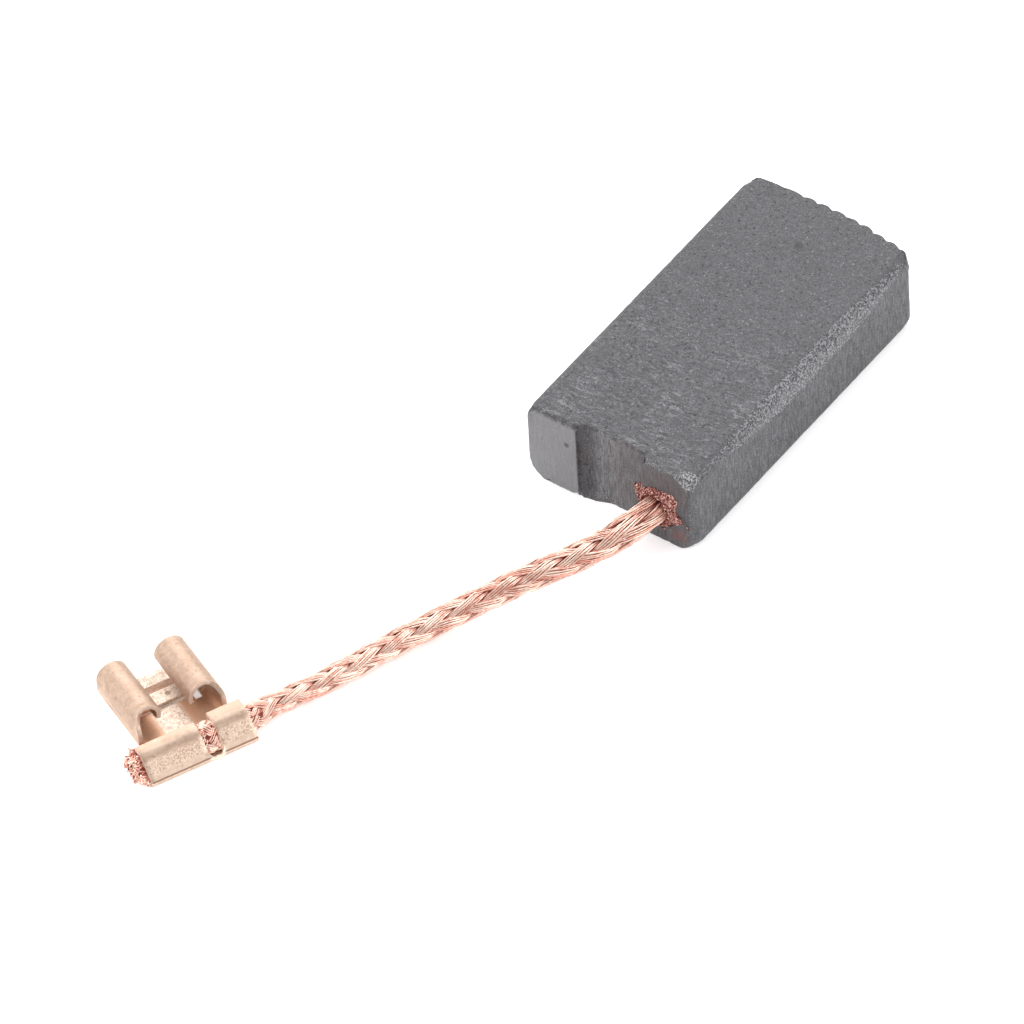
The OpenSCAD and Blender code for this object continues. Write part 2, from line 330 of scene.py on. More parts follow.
class Net:
    """Adds and links nodes in one node tree, of a material or of geometry."""

    def __init__(self, tree):
        self.tree = tree

    def node(self, kind, settings=None, values=()):
        """A new node: its settings first, then the values or links of its sockets."""
        made = self.tree.nodes.new(kind)
        for name, value in (settings or {}).items():
            if name == "stops":
                self.set_stops(made.color_ramp.elements, value)
            else:
                setattr(made, name, value)
        pairs = values.items() if isinstance(values, dict) else enumerate(values)
        for key, value in pairs:
            self.feed(made.inputs[key], value)
        return made

    def set_stops(self, elements, stops):
        while len(elements) < len(stops):
            elements.new(0.5)
        for element, (place, colour) in zip(elements, stops):
            element.position = place
            element.color = (*colour, 1)

    def add(self, kind, settings=None, values=(), out=0):
        """A new node's output, as a term."""
        made = self.node(kind, settings, values)
        return Term(self, made.outputs[out])

    def feed(self, socket, value):
        if isinstance(value, Term):
            self.tree.links.new(value.socket, socket)
        elif isinstance(value, bpy.types.NodeSocket):
            self.tree.links.new(value, socket)
        elif value is not None:
            socket.default_value = value

    def ramp(self, level, *stops):
        """A colour for each level, between stops that are (level, colour)."""
        return self.add("ShaderNodeValToRGB", {"stops": stops}, [level])

    def vector(self, operation, *terms, out=0):
        return self.add("ShaderNodeVectorMath", {"operation": operation}, terms, out)

    def scaled(self, vector, factor):
        settings = {"operation": "SCALE"}
        return self.add("ShaderNodeVectorMath", settings, {0: vector, "Scale": factor})

    def stretched(self, vector, *factors):
        return self.vector("MULTIPLY", vector, factors)

    def blend(self, share, first, second):
        """The first colour, with share of the second over it."""
        pair = [(*colour, 1) if isinstance(colour, tuple) else colour for colour in (first, second)]
        values = {0: share, 6: pair[0], 7: pair[1]}
        return self.add("ShaderNodeMix", {"data_type": "RGBA"}, values, out=2)

    def grain(self, where, scale, detail=2.0, roughness=0.5):
        values = {"Vector": where, "Scale": scale, "Detail": detail, "Roughness": roughness}
        return self.add("ShaderNodeTexNoise", {}, values)

    def swirl(self, where, scale, detail):
        """Noise with three independent parts, each round 0.5."""
        values = {"Vector": where, "Scale": scale, "Detail": detail}
        return self.add("ShaderNodeTexNoise", {}, values, out="Color")

    def near(self, where, place, full, end):
        """1 within full of a place, 0 beyond end."""
        return self.vector("DISTANCE", where, place, out=1).below(full, end)

    def bump(self, height, strength, distance):
        values = {"Strength": strength, "Distance": distance * MM, "Height": height}
        return self.add("ShaderNodeBump", {}, values)

    def split(self, vector):
        made = self.node("ShaderNodeSeparateXYZ", {}, [vector])
        return [Term(self, socket) for socket in made.outputs]

    def normals(self):
        return self.split(self.add("ShaderNodeNewGeometry", out="Normal"))

    def joined(self, x, y, z):
        return self.add("ShaderNodeCombineXYZ", {}, [x, y, z])


def new_finish(name):
    """A material, its net, its shader node and the piece's own coordinates in millimetres."""
    material = bpy.data.materials.new(name)
    material.use_nodes = True
    net = Net(material.node_tree)
    shader = material.node_tree.nodes["Principled BSDF"]
    where = net.add("ShaderNodeTexCoord", out="Object")
    return material, net, shader, net.scaled(where, 1 / MM)


def set_shader(net, shader, **values):
    for name, value in values.items():
        net.feed(shader.inputs[name.replace("_", " ")], value)


# ---------------------------------------------------------------- finishes

def graphite_finish():
    """Pressed graphite: fine grain, ground faces, rubbed edges, copper stain at the wire, with
    painted highlights and shade.
    """
    material, net, shader, where = new_finish("pressed_graphite")
    x, y, z = net.split(where)
    nx, ny, nz = net.normals()
    upward = nz.above(0.8, 0.97)
    wireward = (nx * -1).above(0.75, 0.95)
    sideward = ny.size().above(0.8, 0.97)
    ear = wireward * y.above(EAR_INNER_Y - 0.12, EAR_INNER_Y + 0.03)
    mouth = wireward * y.below(GROOVE_LOW_Y - 0.05, GROOVE_LOW_Y + 0.1)
    groove = wireward - ear - mouth
    plain = 1 - ear * 0.72

    fine = net.grain(where, 12, 2, 0.7)
    speck = net.grain(where, 5.5, 1, 0.5)
    cloud = net.grain(where, 0.35, 2, 0.5)
    flakes = speck.above(0.68, 0.76) * plain
    pits = speck.below(0.27, 0.34) * plain

    # Short wrinkles run across the top; grinding lines stand upright on the other faces
    bent = net.vector("ADD", where, net.scaled(net.swirl(where, 0.8, 2), 0.9))
    turned = net.add("ShaderNodeMapping", {}, {"Vector": bent, "Rotation": (0, 0, -0.12)})
    wrinkles = net.grain(net.stretched(turned, 6.5, 1.7, 6.5), 1, 3, 0.65)
    upright = net.grain(net.stretched(where, 8, 8, 1.1), 1, 3, 0.65)
    lines = (wrinkles - 0.5) * upward * (0.45 + x.below(-6, 5) * 0.75)
    lines = lines + (upright - 0.5) * (sideward * 1.3 + groove * 1.5 + mouth * 1.1 + ear * 0.4)

    # Longer scratches, thickest towards the wire end
    across = net.grain(net.stretched(turned, 3.2, 0.42, 1), 1, 2, 0.55)
    patch = net.grain(where, 0.3, 2, 0.5).above(0.44, 0.6) * x.below(-8, 6)
    scratches = across.between(0.56, 0.61, 0.63, 0.68) * patch * upward * fine.above(0.36, 0.55)

    # The rubbed long edge over the wire: bright and dark crumbs, broad in the middle of the block;
    # the bright crumbs are real wear and a painted highlight
    reach = x.between(-13, -2, 4, 13)
    outward = y * -1
    pale_zone = outward.above(5.8 - reach * 0.35, 6.05 - reach * 0.3)
    pale_zone = pale_zone * z.above(5.7 - reach * 1.9, 6 - reach * 1.3)
    crumbled = net.near(where, (WIRE_X + 0.3, -HALF_W + 0.5, BLOCK_T - 0.1), 0.5, 1.0)
    upright_edge = outward.above(5.6, 5.9) * x.below(WIRE_X + 0.3, WIRE_X + 0.7)
    brink = z.above(5.92, 6.08) * x.below(WIRE_X + 0.2, WIRE_X + 1.15) * y.below(2.4, 2.7)
    rim = (pale_zone + crumbled + upright_edge * 0.75 + brink * 0.9).at_most(1)
    crumb = net.grain(where, 8, 2, 0.75)
    sparse = 0.56 - reach * 0.05 - crumbled * 0.06 + (1 - rim) * 0.3
    bright = crumb.above(sparse, sparse + 0.06) * rim
    # The ear's upper edge has a line of chips and the groove's edge a few; these and the ear's pit
    # are painted dark as shade
    ledge = z.above(5.7, 5.95) * y.above(2.2, 2.5) * x.below(WIRE_X + 0.3, WIRE_X + 0.5)
    chips = ledge * net.grain(where, 2.2, 2, 0.6).above(0.4, 0.52)
    lip = groove * z.above(5.7, 5.9) * net.grain(where, 3, 2, 0.6).above(0.46, 0.56)
    pit = net.near(where, (WIRE_X + EAR_RECESS, *EAR_PIT), 0.12, 0.26)
    dark = (crumb.below(0.36, 0.44) * rim + chips + lip + pit).at_most(1)

    # Painted light: the ear is painted lighter for the sheen of its smoother face, and the upper face
    # a little darker as painted shade
    level = 0.5 + (fine - 0.5) * 1.4 * plain + (cloud - 0.5) * 0.15 + lines - upward * 0.04
    level = level + flakes * 0.6 - pits * 0.5 + scratches * 0.6 + ear * 0.3 - mouth * 0.04
    # The groove is lighter, with a painted shadow of the ear's step along its side next to the ear
    level = level + groove * (0.14 - y.above(1.2, 2.1) * 0.32)
    level = level - net.near(where, (*DARK_DENT, BLOCK_T), 0.15, 0.45) * 0.22
    tone = net.ramp(level, (0, (0.012, 0.012, 0.013)), (0.5, (0.073, 0.071, 0.078)),
                    (1, (0.2, 0.198, 0.208)))
    # Copper has browned the face round the wire and stained its lower corner
    browned = mouth * (0.1 + z.above(3.2, 4.4) * 0.3) + groove * y.below(-1, 1) * 0.4
    brown = net.blend(browned, tone, (0.075, 0.055, 0.055))
    stain = wireward * y.between(-5.9, -5.3, -4.8, -4.2) * z.between(0.3, 0.8, 1.3, 2)
    stain = stain * net.grain(where, 4, 3, 0.7).above(0.42, 0.56)
    stained = net.blend(stain * 0.7, brown, (0.15, 0.045, 0.032))
    # Painted highlight with real wear: the rubbed edge's bright crumbs
    light = net.blend(bright * (0.7 + crumbled * 0.25), stained, (0.33, 0.33, 0.345))
    # Painted shade in the chips and the ear's pit, blended with the rubbed edge's dark crumbs
    colour = net.blend(dark * 0.7, light, (0.016, 0.016, 0.018))

    height = fine * plain * 0.6 + lines * 0.5 + flakes * 0.5 - pits * 0.9
    height = height + scratches * 0.6 + crumb * rim
    rough = 0.58 - ear * 0.1 - bright * 0.15 + (fine - 0.5) * 0.2
    set_shader(net, shader, Base_Color=colour, Roughness=rough, Normal=net.bump(height, 0.6, 0.03))
    return material


def copper_powder_finish():
    """Rammed copper powder: dull red in its hollows, with bright grains."""
    material, net, shader, where = new_finish("rammed_copper_powder")
    grit = net.grain(where, 7, 3, 0.75)
    sparkle = net.grain(where, 7, 2, 0.6).above(0.52, 0.6)
    tone = net.ramp(grit, (0.38, (0.05, 0.012, 0.012)), (0.5, (0.31, 0.085, 0.072)),
                    (0.62, (0.62, 0.33, 0.28)))
    set_shader(net, shader, Base_Color=net.blend(sparkle * 0.6, tone, (0.92, 0.7, 0.62)),
               Roughness=0.5 + grit * 0.2, Metallic=0.55 + sparkle * 0.4,
               Normal=net.bump(grit, 0.8, 0.05))
    return material


def copper_wire_finish():
    """Bright drawn copper: each wire its own tone, with painted shade, darker and redder, where it
    dives under the others.
    """
    material, net, shader, where = new_finish("drawn_copper_wire")
    shade = net.add("ShaderNodeAttribute", {"attribute_name": "shade"}, out="Fac")
    buried = net.add("ShaderNodeAttribute", {"attribute_name": "buried"}, out="Fac")
    patches = net.grain(where, 1.1, 2, 0.6)
    flecks = net.grain(where, 4.5, 2, 0.6)
    bright = net.blend(shade, (0.8, 0.385, 0.298), (0.98, 0.8, 0.69))
    red = net.blend(patches.above(0.44, 0.66) * 0.6, bright, (0.64, 0.26, 0.19))
    pale = net.blend(flecks.above(0.48, 0.66) * 0.6, red, (0.97, 0.86, 0.76))
    # Painted shade: darker red where a wire lies under the others, darkest in the core
    depth_shaded = net.blend(buried.above(0.1, 0.9) * 0.92, pale, (0.46, 0.13, 0.09))
    colour = net.blend(buried.above(1.2, 2), depth_shaded, (0.22, 0.055, 0.04))
    set_shader(net, shader, Base_Color=colour, Metallic=1.0, Roughness=0.26 + patches * 0.16)
    return material


def brass_finish():
    """Rolled brass sheet: satin and mottled, with painted reflections on the straps and floor and a
    painted dark line where the straps fold.
    """
    material, net, shader, where = new_finish("rolled_brass_sheet")
    x, y, z = net.split(where)
    u, v = into_terminal(x, y)
    cloud = net.grain(where, 0.9, 3, 0.6)
    mottle = net.grain(where, 4.5, 3, 0.7)
    rolled = net.grain(net.joined(u * 0.5, v * 5, z * 5), 1, 2, 0.6)
    sand = net.grain(where, 9, 2, 0.7)
    strap = v.below(2.3, 2.6)
    floor = z.below(0.5, 0.9) * v.above(2.2, 2.6)
    roll = v.above(WALL_START, ROLL_START) * z.above(0.9, 1.3)
    # The straps' slope is sandy; a darker band where the crown begins and the darker top of the crown
    # beyond it are painted reflection
    sandy = strap * v.between(0.25, 0.5, 0.8, 1.1)
    band = strap * v.between(0.85, 1.15, 1.25, 1.6)
    slot = u.between(WIDE_STRAP_W - 0.1, WIDE_STRAP_W + 0.1, 4.95, 5.15)
    # Painted shade: a dark line along the foot of the straps' slope, which is also bumped in as a
    # slight fold line
    crease_and_shade = strap * (1 - slot) * z.between(0.4, 0.44, 0.49, 0.53) * v.below(0.12, 0.25)
    level = cloud * 0.35 + mottle * 0.45 + rolled * 0.2 - roll * 0.1
    level = level + (sand - 0.5) * (sandy * 2 + floor * 1.2)
    level = level - band * 0.14 - strap * v.above(1.5, 1.9) * 0.22
    tone = net.ramp(level, (0.3, (0.47, 0.33, 0.25)), (0.5, (0.62, 0.465, 0.365)),
                    (0.7, (0.74, 0.58, 0.47)))
    spots = net.grain(where, 2.2, 1, 0.5).above(0.68, 0.74)
    spotted = net.blend(spots * 0.45, tone, (0.32, 0.2, 0.14))
    # The floor is painted with shade under the rolls and with a dark reflection on the tongue's ramp,
    # a mottled pale reflection is painted between them, and a dark spot stands for the shade in the
    # dimple of its pad
    inside = floor * (1 - strap)
    ramp_start = TONGUE_FOOT - TONGUE_RAMP_L
    ramp = v.between(ramp_start - 0.1, ramp_start, 7.3, 7.4)
    shaded = (u.below(2.5, 3) + u.above(4.3, 4.8) * v.below(5.2, 5.4) + ramp).at_most(1)
    blotches = mottle.above(0.35, 0.6)
    painted_shade_tone = net.blend(ramp, (0.74, 0.42, 0.26), (0.34, 0.17, 0.1))
    shade_painted = net.blend(inside * shaded * (0.45 + blotches * 0.5), spotted, painted_shade_tone)
    pale_zone = net.blend(inside * (1 - shaded) * blotches * 0.7, shade_painted, (0.88, 0.77, 0.67))
    # Painted shade: a dark spot where the pad has its dimple
    dimple = net.near(net.joined(u, v, z), DIMPLE, 0.12, 0.24)
    dimple_shaded = net.blend(dimple * 0.7, pale_zone, (0.2, 0.11, 0.07))
    # Painted highlight: the foot of the slot between the straps is painted pale
    foot_lit = net.blend(strap * slot * v.below(0.15, 0.3) * 0.6, dimple_shaded, (0.96, 0.82, 0.68))
    crease_shaded = net.blend(crease_and_shade * 0.85, foot_lit, (0.27, 0.15, 0.095))
    # Sheared edges are brighter than the sheet's faces
    nx, ny = net.normals()[:2]
    cos, sin = math.cos(TERMINAL_TURN), math.sin(TERMINAL_TURN)
    end_on = (nx * cos + ny * sin).size().above(0.8, 0.92) * strap * z.above(0.2, 0.3)
    front_on = (nx * sin - ny * cos).above(0.8, 0.92) * v.above(2.6, 2.9) * z.above(0.6, 0.8)
    sheared = end_on + front_on
    colour = net.blend(sheared * 0.6, crease_shaded, (0.98, 0.84, 0.72))
    height = mottle * 0.5 + sand * sandy * 1.5 + rolled * 0.3 - crease_and_shade
    set_shader(net, shader, Base_Color=colour, Metallic=1 - inside * 0.5 - sheared * 0.5,
               Roughness=0.36 + mottle * 0.16 + roll * 0.14 + inside * 0.05,
               Normal=net.bump(height, 0.35, 0.02))
    return material


# ---------------------------------------------------------------- camera, lights, floor

CAMERA_AZIMUTH = math.radians(37.955)
CAMERA_ELEVATION = math.radians(46.021)
CAMERA_ROLL = math.radians(-3.47)
CAMERA_AIM = Vector((WIRE_X - 3.112, 5.279, 0))
CAMERA_AWAY = 906.32663
CAMERA_LENS = 519.75
SENSOR_W = 36
LIGHT_AWAY = 0.6


def make_camera():
    """A long lens that looks down past the wire end, with its roll."""
    a, e, roll = CAMERA_AZIMUTH, CAMERA_ELEVATION, CAMERA_ROLL
    look = Vector((math.cos(a) * math.cos(e), math.sin(a) * math.cos(e), -math.sin(e)))
    level = look.cross(Vector((0, 0, 1))).normalized()
    upright = level.cross(look)
    right = level * math.cos(roll) + upright * math.sin(roll)
    up = upright * math.cos(roll) - level * math.sin(roll)
    data = bpy.data.cameras.new("camera")
    data.sensor_width = SENSOR_W
    data.lens = CAMERA_LENS
    data.clip_start = 0.05
    data.clip_end = 20
    camera = bpy.data.objects.new("camera", data)
    bpy.context.scene.collection.objects.link(camera)
    turn = Matrix((right, up, -look)).transposed()
    place = Matrix.Translation((CAMERA_AIM - look * CAMERA_AWAY) * MM)
    camera.matrix_world = place @ turn.to_4x4()
    bpy.context.scene.camera = camera


def softbox(name, azimuth, elevation, size, radiance):
    """A soft rectangle of light, aimed at the brush. Its size and distance are in metres."""
    data = bpy.data.lights.new(name, "AREA")
    data.shape = "RECTANGLE"
    data.size, data.size_y = size
    data.energy = radiance * math.pi * size[0] * size[1]
    light = bpy.data.objects.new(name, data)
    bpy.context.scene.collection.objects.link(light)
    a, e = math.radians(azimuth), math.radians(elevation)
    away = Vector((math.cos(a) * math.cos(e), math.sin(a) * math.cos(e), math.sin(e)))
    light.location = CAMERA_AIM * MM + away * LIGHT_AWAY
    light.rotation_euler = (-away).to_track_quat("-Z", "Y").to_euler()


def make_studio():
    world = bpy.data.worlds.new("studio")
    bpy.context.scene.world = world
    world.use_nodes = True
    background = world.node_tree.nodes["Background"]
    background.inputs["Color"].default_value = (1, 1, 1, 1)
    background.inputs["Strength"].default_value = 0.6
    softbox("back_softbox", 38, 46, (0.6, 0.5), 2.9)
    softbox("left_softbox", 150, 40, (0.6, 0.4), 3.2)
    softbox("front_softbox", -60, 35, (0.6, 0.4), 2.3)
    bpy.context.scene.view_settings.view_transform = "Standard"

    material, net, shader, where = new_finish("pale_paper")
    tone = net.blend(net.grain(where, 0.05, 2, 0.5), (0.86, 0.86, 0.86), (0.88, 0.88, 0.88))
    set_shader(net, shader, Base_Color=tone, Roughness=0.9, Emission_Color=(1, 1, 1, 1),
               Emission_Strength=0.42)
    bm = bmesh.new()
    bmesh.ops.create_grid(bm, x_segments=4, y_segments=4, size=3000)
    floor = new_object("floor", mesh_from_bmesh("floor", bm), material)


# ---------------------------------------------------------------- pigtail

# How much closer the crimp bunches the weave, and how much straighter it leaves the block:
# up to the first distance from it, and no more beyond the second
BUNCHING = 2.7
STRAIGHTENING = 0.35
STRAIGHT_FROM_BLOCK = (1.5, 5)
# How far the wires swell in the slot between the straps, to the sides and upwards
SLOT_SWELL = 0.14
SLOT_BULGE = 0.2
# The least room under the straps, and what the wires keep clear of the sheet below them
LEAST_ROOM = 0.1
FLOOR_GAP = 0.03
# The angle between neighbouring wires of a bundle
WIRE_SPACING = 0.145
# Points of the guide inside the block, on the free length and in the crimp
GUIDE_POINTS = (6, 71, 41)
# The core's strands, so many in its outer ring, at this angle, each as thick as several wires
CORE_STRANDS = 12
CORE_RING = 8
CORE_SPACING = 0.785
CORE_WIRES = 4.2


def along_route():
    """Evenly spaced points of a smooth line through ROUTE, each with its flatness and taper."""
    knots = [(WIRE_X + x, y, z, flat, clamp((i - THINS_FROM) / (THINS_TO - THINS_FROM)))
             for i, (x, y, z, flat) in enumerate(ROUTE)]
    line = []
    steps = 12
    for i, (here, onward) in enumerate(zip(knots, knots[1:])):
        before, after = knots[max(i - 1, 0)], knots[min(i + 2, len(knots) - 1)]
        for k in range(steps):
            t = k / steps
            place = [
                b + 0.5 * t * (c - a + t * (2 * a - 5 * b + 4 * c - d + t * (3 * (b - c) + d - a)))
                for a, b, c, d in zip(before[:3], here[:3], onward[:3], after[:3])
            ]
            line.append((*place, mix(here[3], onward[3], t), mix(here[4], onward[4], t)))
    line.append(knots[-1])
    # Few points inside the block, and more where the crimp bunches the wires
    leaves = next(i for i, point in enumerate(line) if point[0] < WIRE_X + 0.3)
    enters = next(i for i, point in enumerate(line) if point[3] > 0.3)
    parts = (line[:leaves + 1], line[leaves:enters + 1], line[enters:])
    buried, free, pressed = [evenly(part, count) for part, count in zip(parts, GUIDE_POINTS)]
    return buried[:-1] + free[:-1] + pressed


def braid_guide():
    """The line that the wires wind round: a chain of edges whose points carry the braid's frame."""
    line = along_route()
    points = [Vector(p[:3]) for p in line]
    mesh = bpy.data.meshes.new("braid_guide")
    mesh.from_pydata([p * MM for p in points], [(i, i + 1) for i in range(len(points) - 1)], [])
    rows = []
    travel = wound = 0.0
    crimp_half_h = CRIMP_H / 2 - SHEET_T
    for i, point in enumerate(points):
        before = points[max(i - 1, 0)]
        along = (points[min(i + 1, len(points) - 1)] - before).normalized()
        side = Vector((-along.y, along.x, 0)).normalized()
        flat, thin = line[i][3:]
        round_r = mix(BRAID_D, BRAID_END_D, thin) / 2
        pressed, splay = min(flat, 1), max(flat - 1, 0)
        step = (point - before).length
        travel += step
        straight = mix(STRAIGHTENING, 1, smooth(WIRE_X - point.x, *STRAIGHT_FROM_BLOCK))
        wound += step * mix(1, BUNCHING, pressed) * straight
        # The wires swell where the slot between the straps lets them
        from_slot = abs(into_terminal(point.x, point.y)[0] - WIDE_STRAP_W - SLOT_W / 2)
        in_slot = smooth(SLOT_W * 0.7 - from_slot, 0, 0.3)
        half_w = mix(mix(round_r, PRESSED_W / 2, pressed), SPLAYED_W / 2, splay)
        rows.append({
            "side": side,
            "up": along.cross(side),
            "along": along,
            "half_w": (half_w + SLOT_SWELL * in_slot) * MM,
            "half_h": mix(round_r, crimp_half_h, pressed) * MM,
            "travel": travel,
            "loose": splay,
            "pressed": smooth(pressed),
            "wound": wound,
            "bulge": SLOT_BULGE * in_slot,
        })
    for name in rows[0]:
        values = [row[name] for row in rows]
        if isinstance(values[0], Vector):
            attribute = mesh.attributes.new(name, "FLOAT_VECTOR", "POINT")
            attribute.data.foreach_set("vector", [c for v in values for c in v])
        else:
            attribute = mesh.attributes.new(name, "FLOAT", "POINT")
            attribute.data.foreach_set("value", values)
    return new_object("pigtail_braid", mesh), points, travel


def tree_with(name, inputs):
    """A geometry tree with one geometry input and the named numbers, whole ones or not."""
    tree = bpy.data.node_groups.new(name, "GeometryNodeTree")
    tree.interface.new_socket("Geometry", in_out="INPUT", socket_type="NodeSocketGeometry")
    for label, value in inputs.items():
        kind = "NodeSocketInt" if isinstance(value, int) else "NodeSocketFloat"
        socket = tree.interface.new_socket(label, in_out="INPUT", socket_type=kind)
        socket.default_value = value
    tree.interface.new_socket("Geometry", in_out="OUTPUT", socket_type="NodeSocketGeometry")
    net = Net(tree)
    entry = net.node("NodeGroupInput")
    given = {socket.name: Term(net, socket) for socket in entry.outputs if socket.name}
    return tree, net, given


def finish_tree(net, geometry, material):
    """Closes a geometry tree: smooth, real geometry in one material."""
    real = net.add("GeometryNodeRealizeInstances", {}, {"Geometry": geometry})
    soft = net.add("GeometryNodeSetShadeSmooth", {}, {"Geometry": real})
    dressed = net.add("GeometryNodeSetMaterial", {}, {"Geometry": soft, "Material": material})
    net.node("NodeGroupOutput", {}, [dressed])


def run_tree(obj, tree):
    """Gives the object the tree and keeps the plain mesh that comes out."""
    obj.modifiers.new(tree.name, "NODES").node_group = tree
    apply_modifiers(obj)


def named(net, name, kind="FLOAT"):
    return net.add("GeometryNodeInputNamedAttribute", {"data_type": kind}, {"Name": name})


def stored(net, geometry, name, value, domain="POINT"):
    settings = {"data_type": "FLOAT", "domain": domain}
    values = {"Geometry": geometry, "Name": name, "Value": value}
    return net.add("GeometryNodeStoreNamedAttribute", settings, values)


def random_value(net, kind, low, high, seed, index=None):
    """A random number or vector for each item, or for each index."""
    made = net.node("FunctionNodeRandomValue", {"data_type": kind})
    values = {"Min": low, "Max": high, "Seed": seed, "ID": index}
    for socket in made.inputs:
        if socket.enabled and socket.name in values:
            net.feed(socket, values[socket.name])
    return Term(net, next(s for s in made.outputs if s.enabled))


def scattered(net, mesh, density, seed):
    """Random points on a mesh, and the rotation that stands upright on it at each."""
    values = {"Mesh": mesh, "Density": density, "Seed": seed}
    made = net.node("GeometryNodeDistributePointsOnFaces", {"distribute_method": "RANDOM"}, values)
    return Term(net, made.outputs["Points"]), Term(net, made.outputs["Rotation"])


def swept(net, curves, wire_d, sides):
    """The curves as round wires with closed ends."""
    values = {"Resolution": sides, "Radius": wire_d * 0.5}
    ring = net.add("GeometryNodeCurvePrimitiveCircle", {}, values)
    values = {"Curve": curves, "Profile Curve": ring, "Fill Caps": True}
    return net.add("GeometryNodeCurveToMesh", {}, values)


def wires_round_guide(net, guide, count, position, wire_d, sides):
    """count copies of the guide, swept with a round wire.

    position(index) gives each one's place, its tone, and its painted shade for how deep it lies under
    the others.
    """
    line = net.add("GeometryNodeMeshToCurve", {}, {"Mesh": guide})
    copies = net.node("GeometryNodeDuplicateElements", {"domain": "SPLINE"},
                      {"Geometry": line, "Amount": count})
    index = Term(net, copies.outputs["Duplicate Index"])
    geometry = Term(net, copies.outputs["Geometry"])
    place, shade, buried = position(index)
    geometry = stored(net, geometry, "shade", shade)
    geometry = stored(net, geometry, "buried", buried)
    moved = net.add("GeometryNodeSetPosition", {}, {"Geometry": geometry, "Position": place})
    return swept(net, moved, wire_d, sides)


def braid_tree(material):
    """Bundles of fine wires that wind both ways round the guide, over and under each other."""
    tree, net, given = tree_with("braided_wires", {
        "Bundles": 16,
        "Wires across a bundle": 5,
        "Layers in a bundle": 2,
        "Lay length": 20.0,
        "Wire diameter": WIRE_D * MM,
        "Weave depth": 0.24,
        "Looseness": 0.12,
        "Seed": 3,
    })
    bundles, across = given["Bundles"], given["Wires across a bundle"]
    per_bundle = across * given["Layers in a bundle"]
    lay, seed = given["Lay length"], given["Seed"]
    travel, loose, pressed = named(net, "travel"), named(net, "loose"), named(net, "pressed")
    half_w, half_h = named(net, "half_w"), named(net, "half_h")
    side = named(net, "side", "FLOAT_VECTOR")
    up = named(net, "up", "FLOAT_VECTOR")
    along = named(net, "along", "FLOAT_VECTOR")
    middle = net.add("GeometryNodeInputPosition")

    def chance(index, salt, low=0.0, high=1.0):
        return random_value(net, "FLOAT", low, high, seed + salt, index)

    def drift(index, salt, pace):
        """Slow noise along one wire, from -1 to 1."""
        where = net.joined(travel * pace, index * 7.31 + salt, seed * 3.7)
        return (net.grain(where, 1, 2, 0.5) - 0.5) * 2

    def placed(angle, share):
        """A point round the guide, at share of the way to the braid's outside."""
        sideways = net.scaled(side, angle.maths("COSINE") * half_w * share)
        upwards = net.scaled(up, angle.maths("SINE") * half_h * share)
        return net.vector("ADD", net.vector("ADD", middle, sideways), upwards)

    def in_crimp(place):
        """Under the straps the wires fill the room that the slope leaves them."""
        x, y, z = [term / MM for term in net.split(place)]
        v = into_terminal(x, y)[1]
        room = (v * math.tan(STRAP_SLOPE) + 0.02 - SHEET_T).at_least(LEAST_ROOM)
        share = (room / (CRIMP_H - 2 * SHEET_T)).at_most(1) + named(net, "bulge")
        low = SHEET_T + FLOOR_GAP
        fitted = low + (z - low) * share
        height = z + (fitted - z) * pressed
        return net.joined(x * MM, y * MM, height * MM)

    def woven(index):
        """One wire of a bundle, which winds to one hand or the other."""
        bundle = (index / per_bundle).maths("FLOOR")
        inside = index - bundle * per_bundle
        layer = (inside / across).maths("FLOOR")
        column = inside - layer * across
        hand = bundle.maths("MODULO", 2) * 2 - 1
        turn = (bundle / 2).maths("FLOOR")
        start = turn * 2 / bundles * math.tau
        winding = named(net, "wound") / lay * math.tau
        spacing = (column - (across - 1) / 2 + layer * 0.5) * WIRE_SPACING
        stray = drift(index, 2.0, 0.8) * given["Looseness"] * (1 + loose * 6)
        sway = drift(bundle, 5.0, 0.3) * 0.2
        # Each bundle goes over two and under two, and its neighbour does the opposite
        crossing = winding * bundles / math.tau
        wave = ((crossing * hand + turn * 2 - 0.5) * math.tau / 4).maths("COSINE") * hand
        over = (wave * 1.6).at_most(1).at_least(-1)
        angle = hand * winding + start + spacing * (1 + over * 0.12) + stray + sway
        # Bundles are highest along their middle, and the second layer lies under the first
        crest = 1 - (spacing * spacing) * 1.6
        depth = (1 - over) * 0.5
        share = 0.9 + over * 0.04 - depth * given["Weave depth"] - layer * 0.12 + crest * 0.05
        share = share + drift(index, 9.0, 1.1) * given["Looseness"] * 0.5
        fan = 1 - loose * chance(index, 4, 0.0, 0.75)
        place = placed(angle, share * fan)
        ends = net.scaled(along, loose * chance(index, 6, -0.35, 0.12) * MM)
        # Painted shade: darker and redder where a wire dives under its neighbours or lies in the
        # second layer, less where the wires splay
        buried = depth * 0.8 + layer * 0.25 - loose * 0.5
        return in_crimp(net.vector("ADD", place, ends)), chance(index, 8), buried

    def packed(index):
        """Thick inner strands close the middle of the braid to the eye, painted dark red as the shade
        inside it.
        """
        ring = (index / CORE_RING).maths("FLOOR")
        angle = index * CORE_SPACING + travel * 0.3 + ring * 0.4
        share = (0.5 - ring * 0.28) * (1 - loose * 0.4)
        inner = net.scaled(along, loose * -0.4 * MM)
        return in_crimp(net.vector("ADD", placed(angle, share), inner)), 0.0, 2.0

    wire_d = given["Wire diameter"]
    outer = wires_round_guide(net, given["Geometry"], bundles * per_bundle, woven, wire_d, 5)
    core = wires_round_guide(net, given["Geometry"], CORE_STRANDS, packed, wire_d * CORE_WIRES, 6)
    both = net.node("GeometryNodeJoinGeometry")
    net.feed(both.inputs[0], core)
    net.feed(both.inputs[0], outer)
    finish_tree(net, Term(net, both.outputs[0]), material)
    return tree


# The cut wires stand near the wide strap's outer end, between these two places along v
CUT_U = 0.12
CUT_V = (0.25, 2.35)


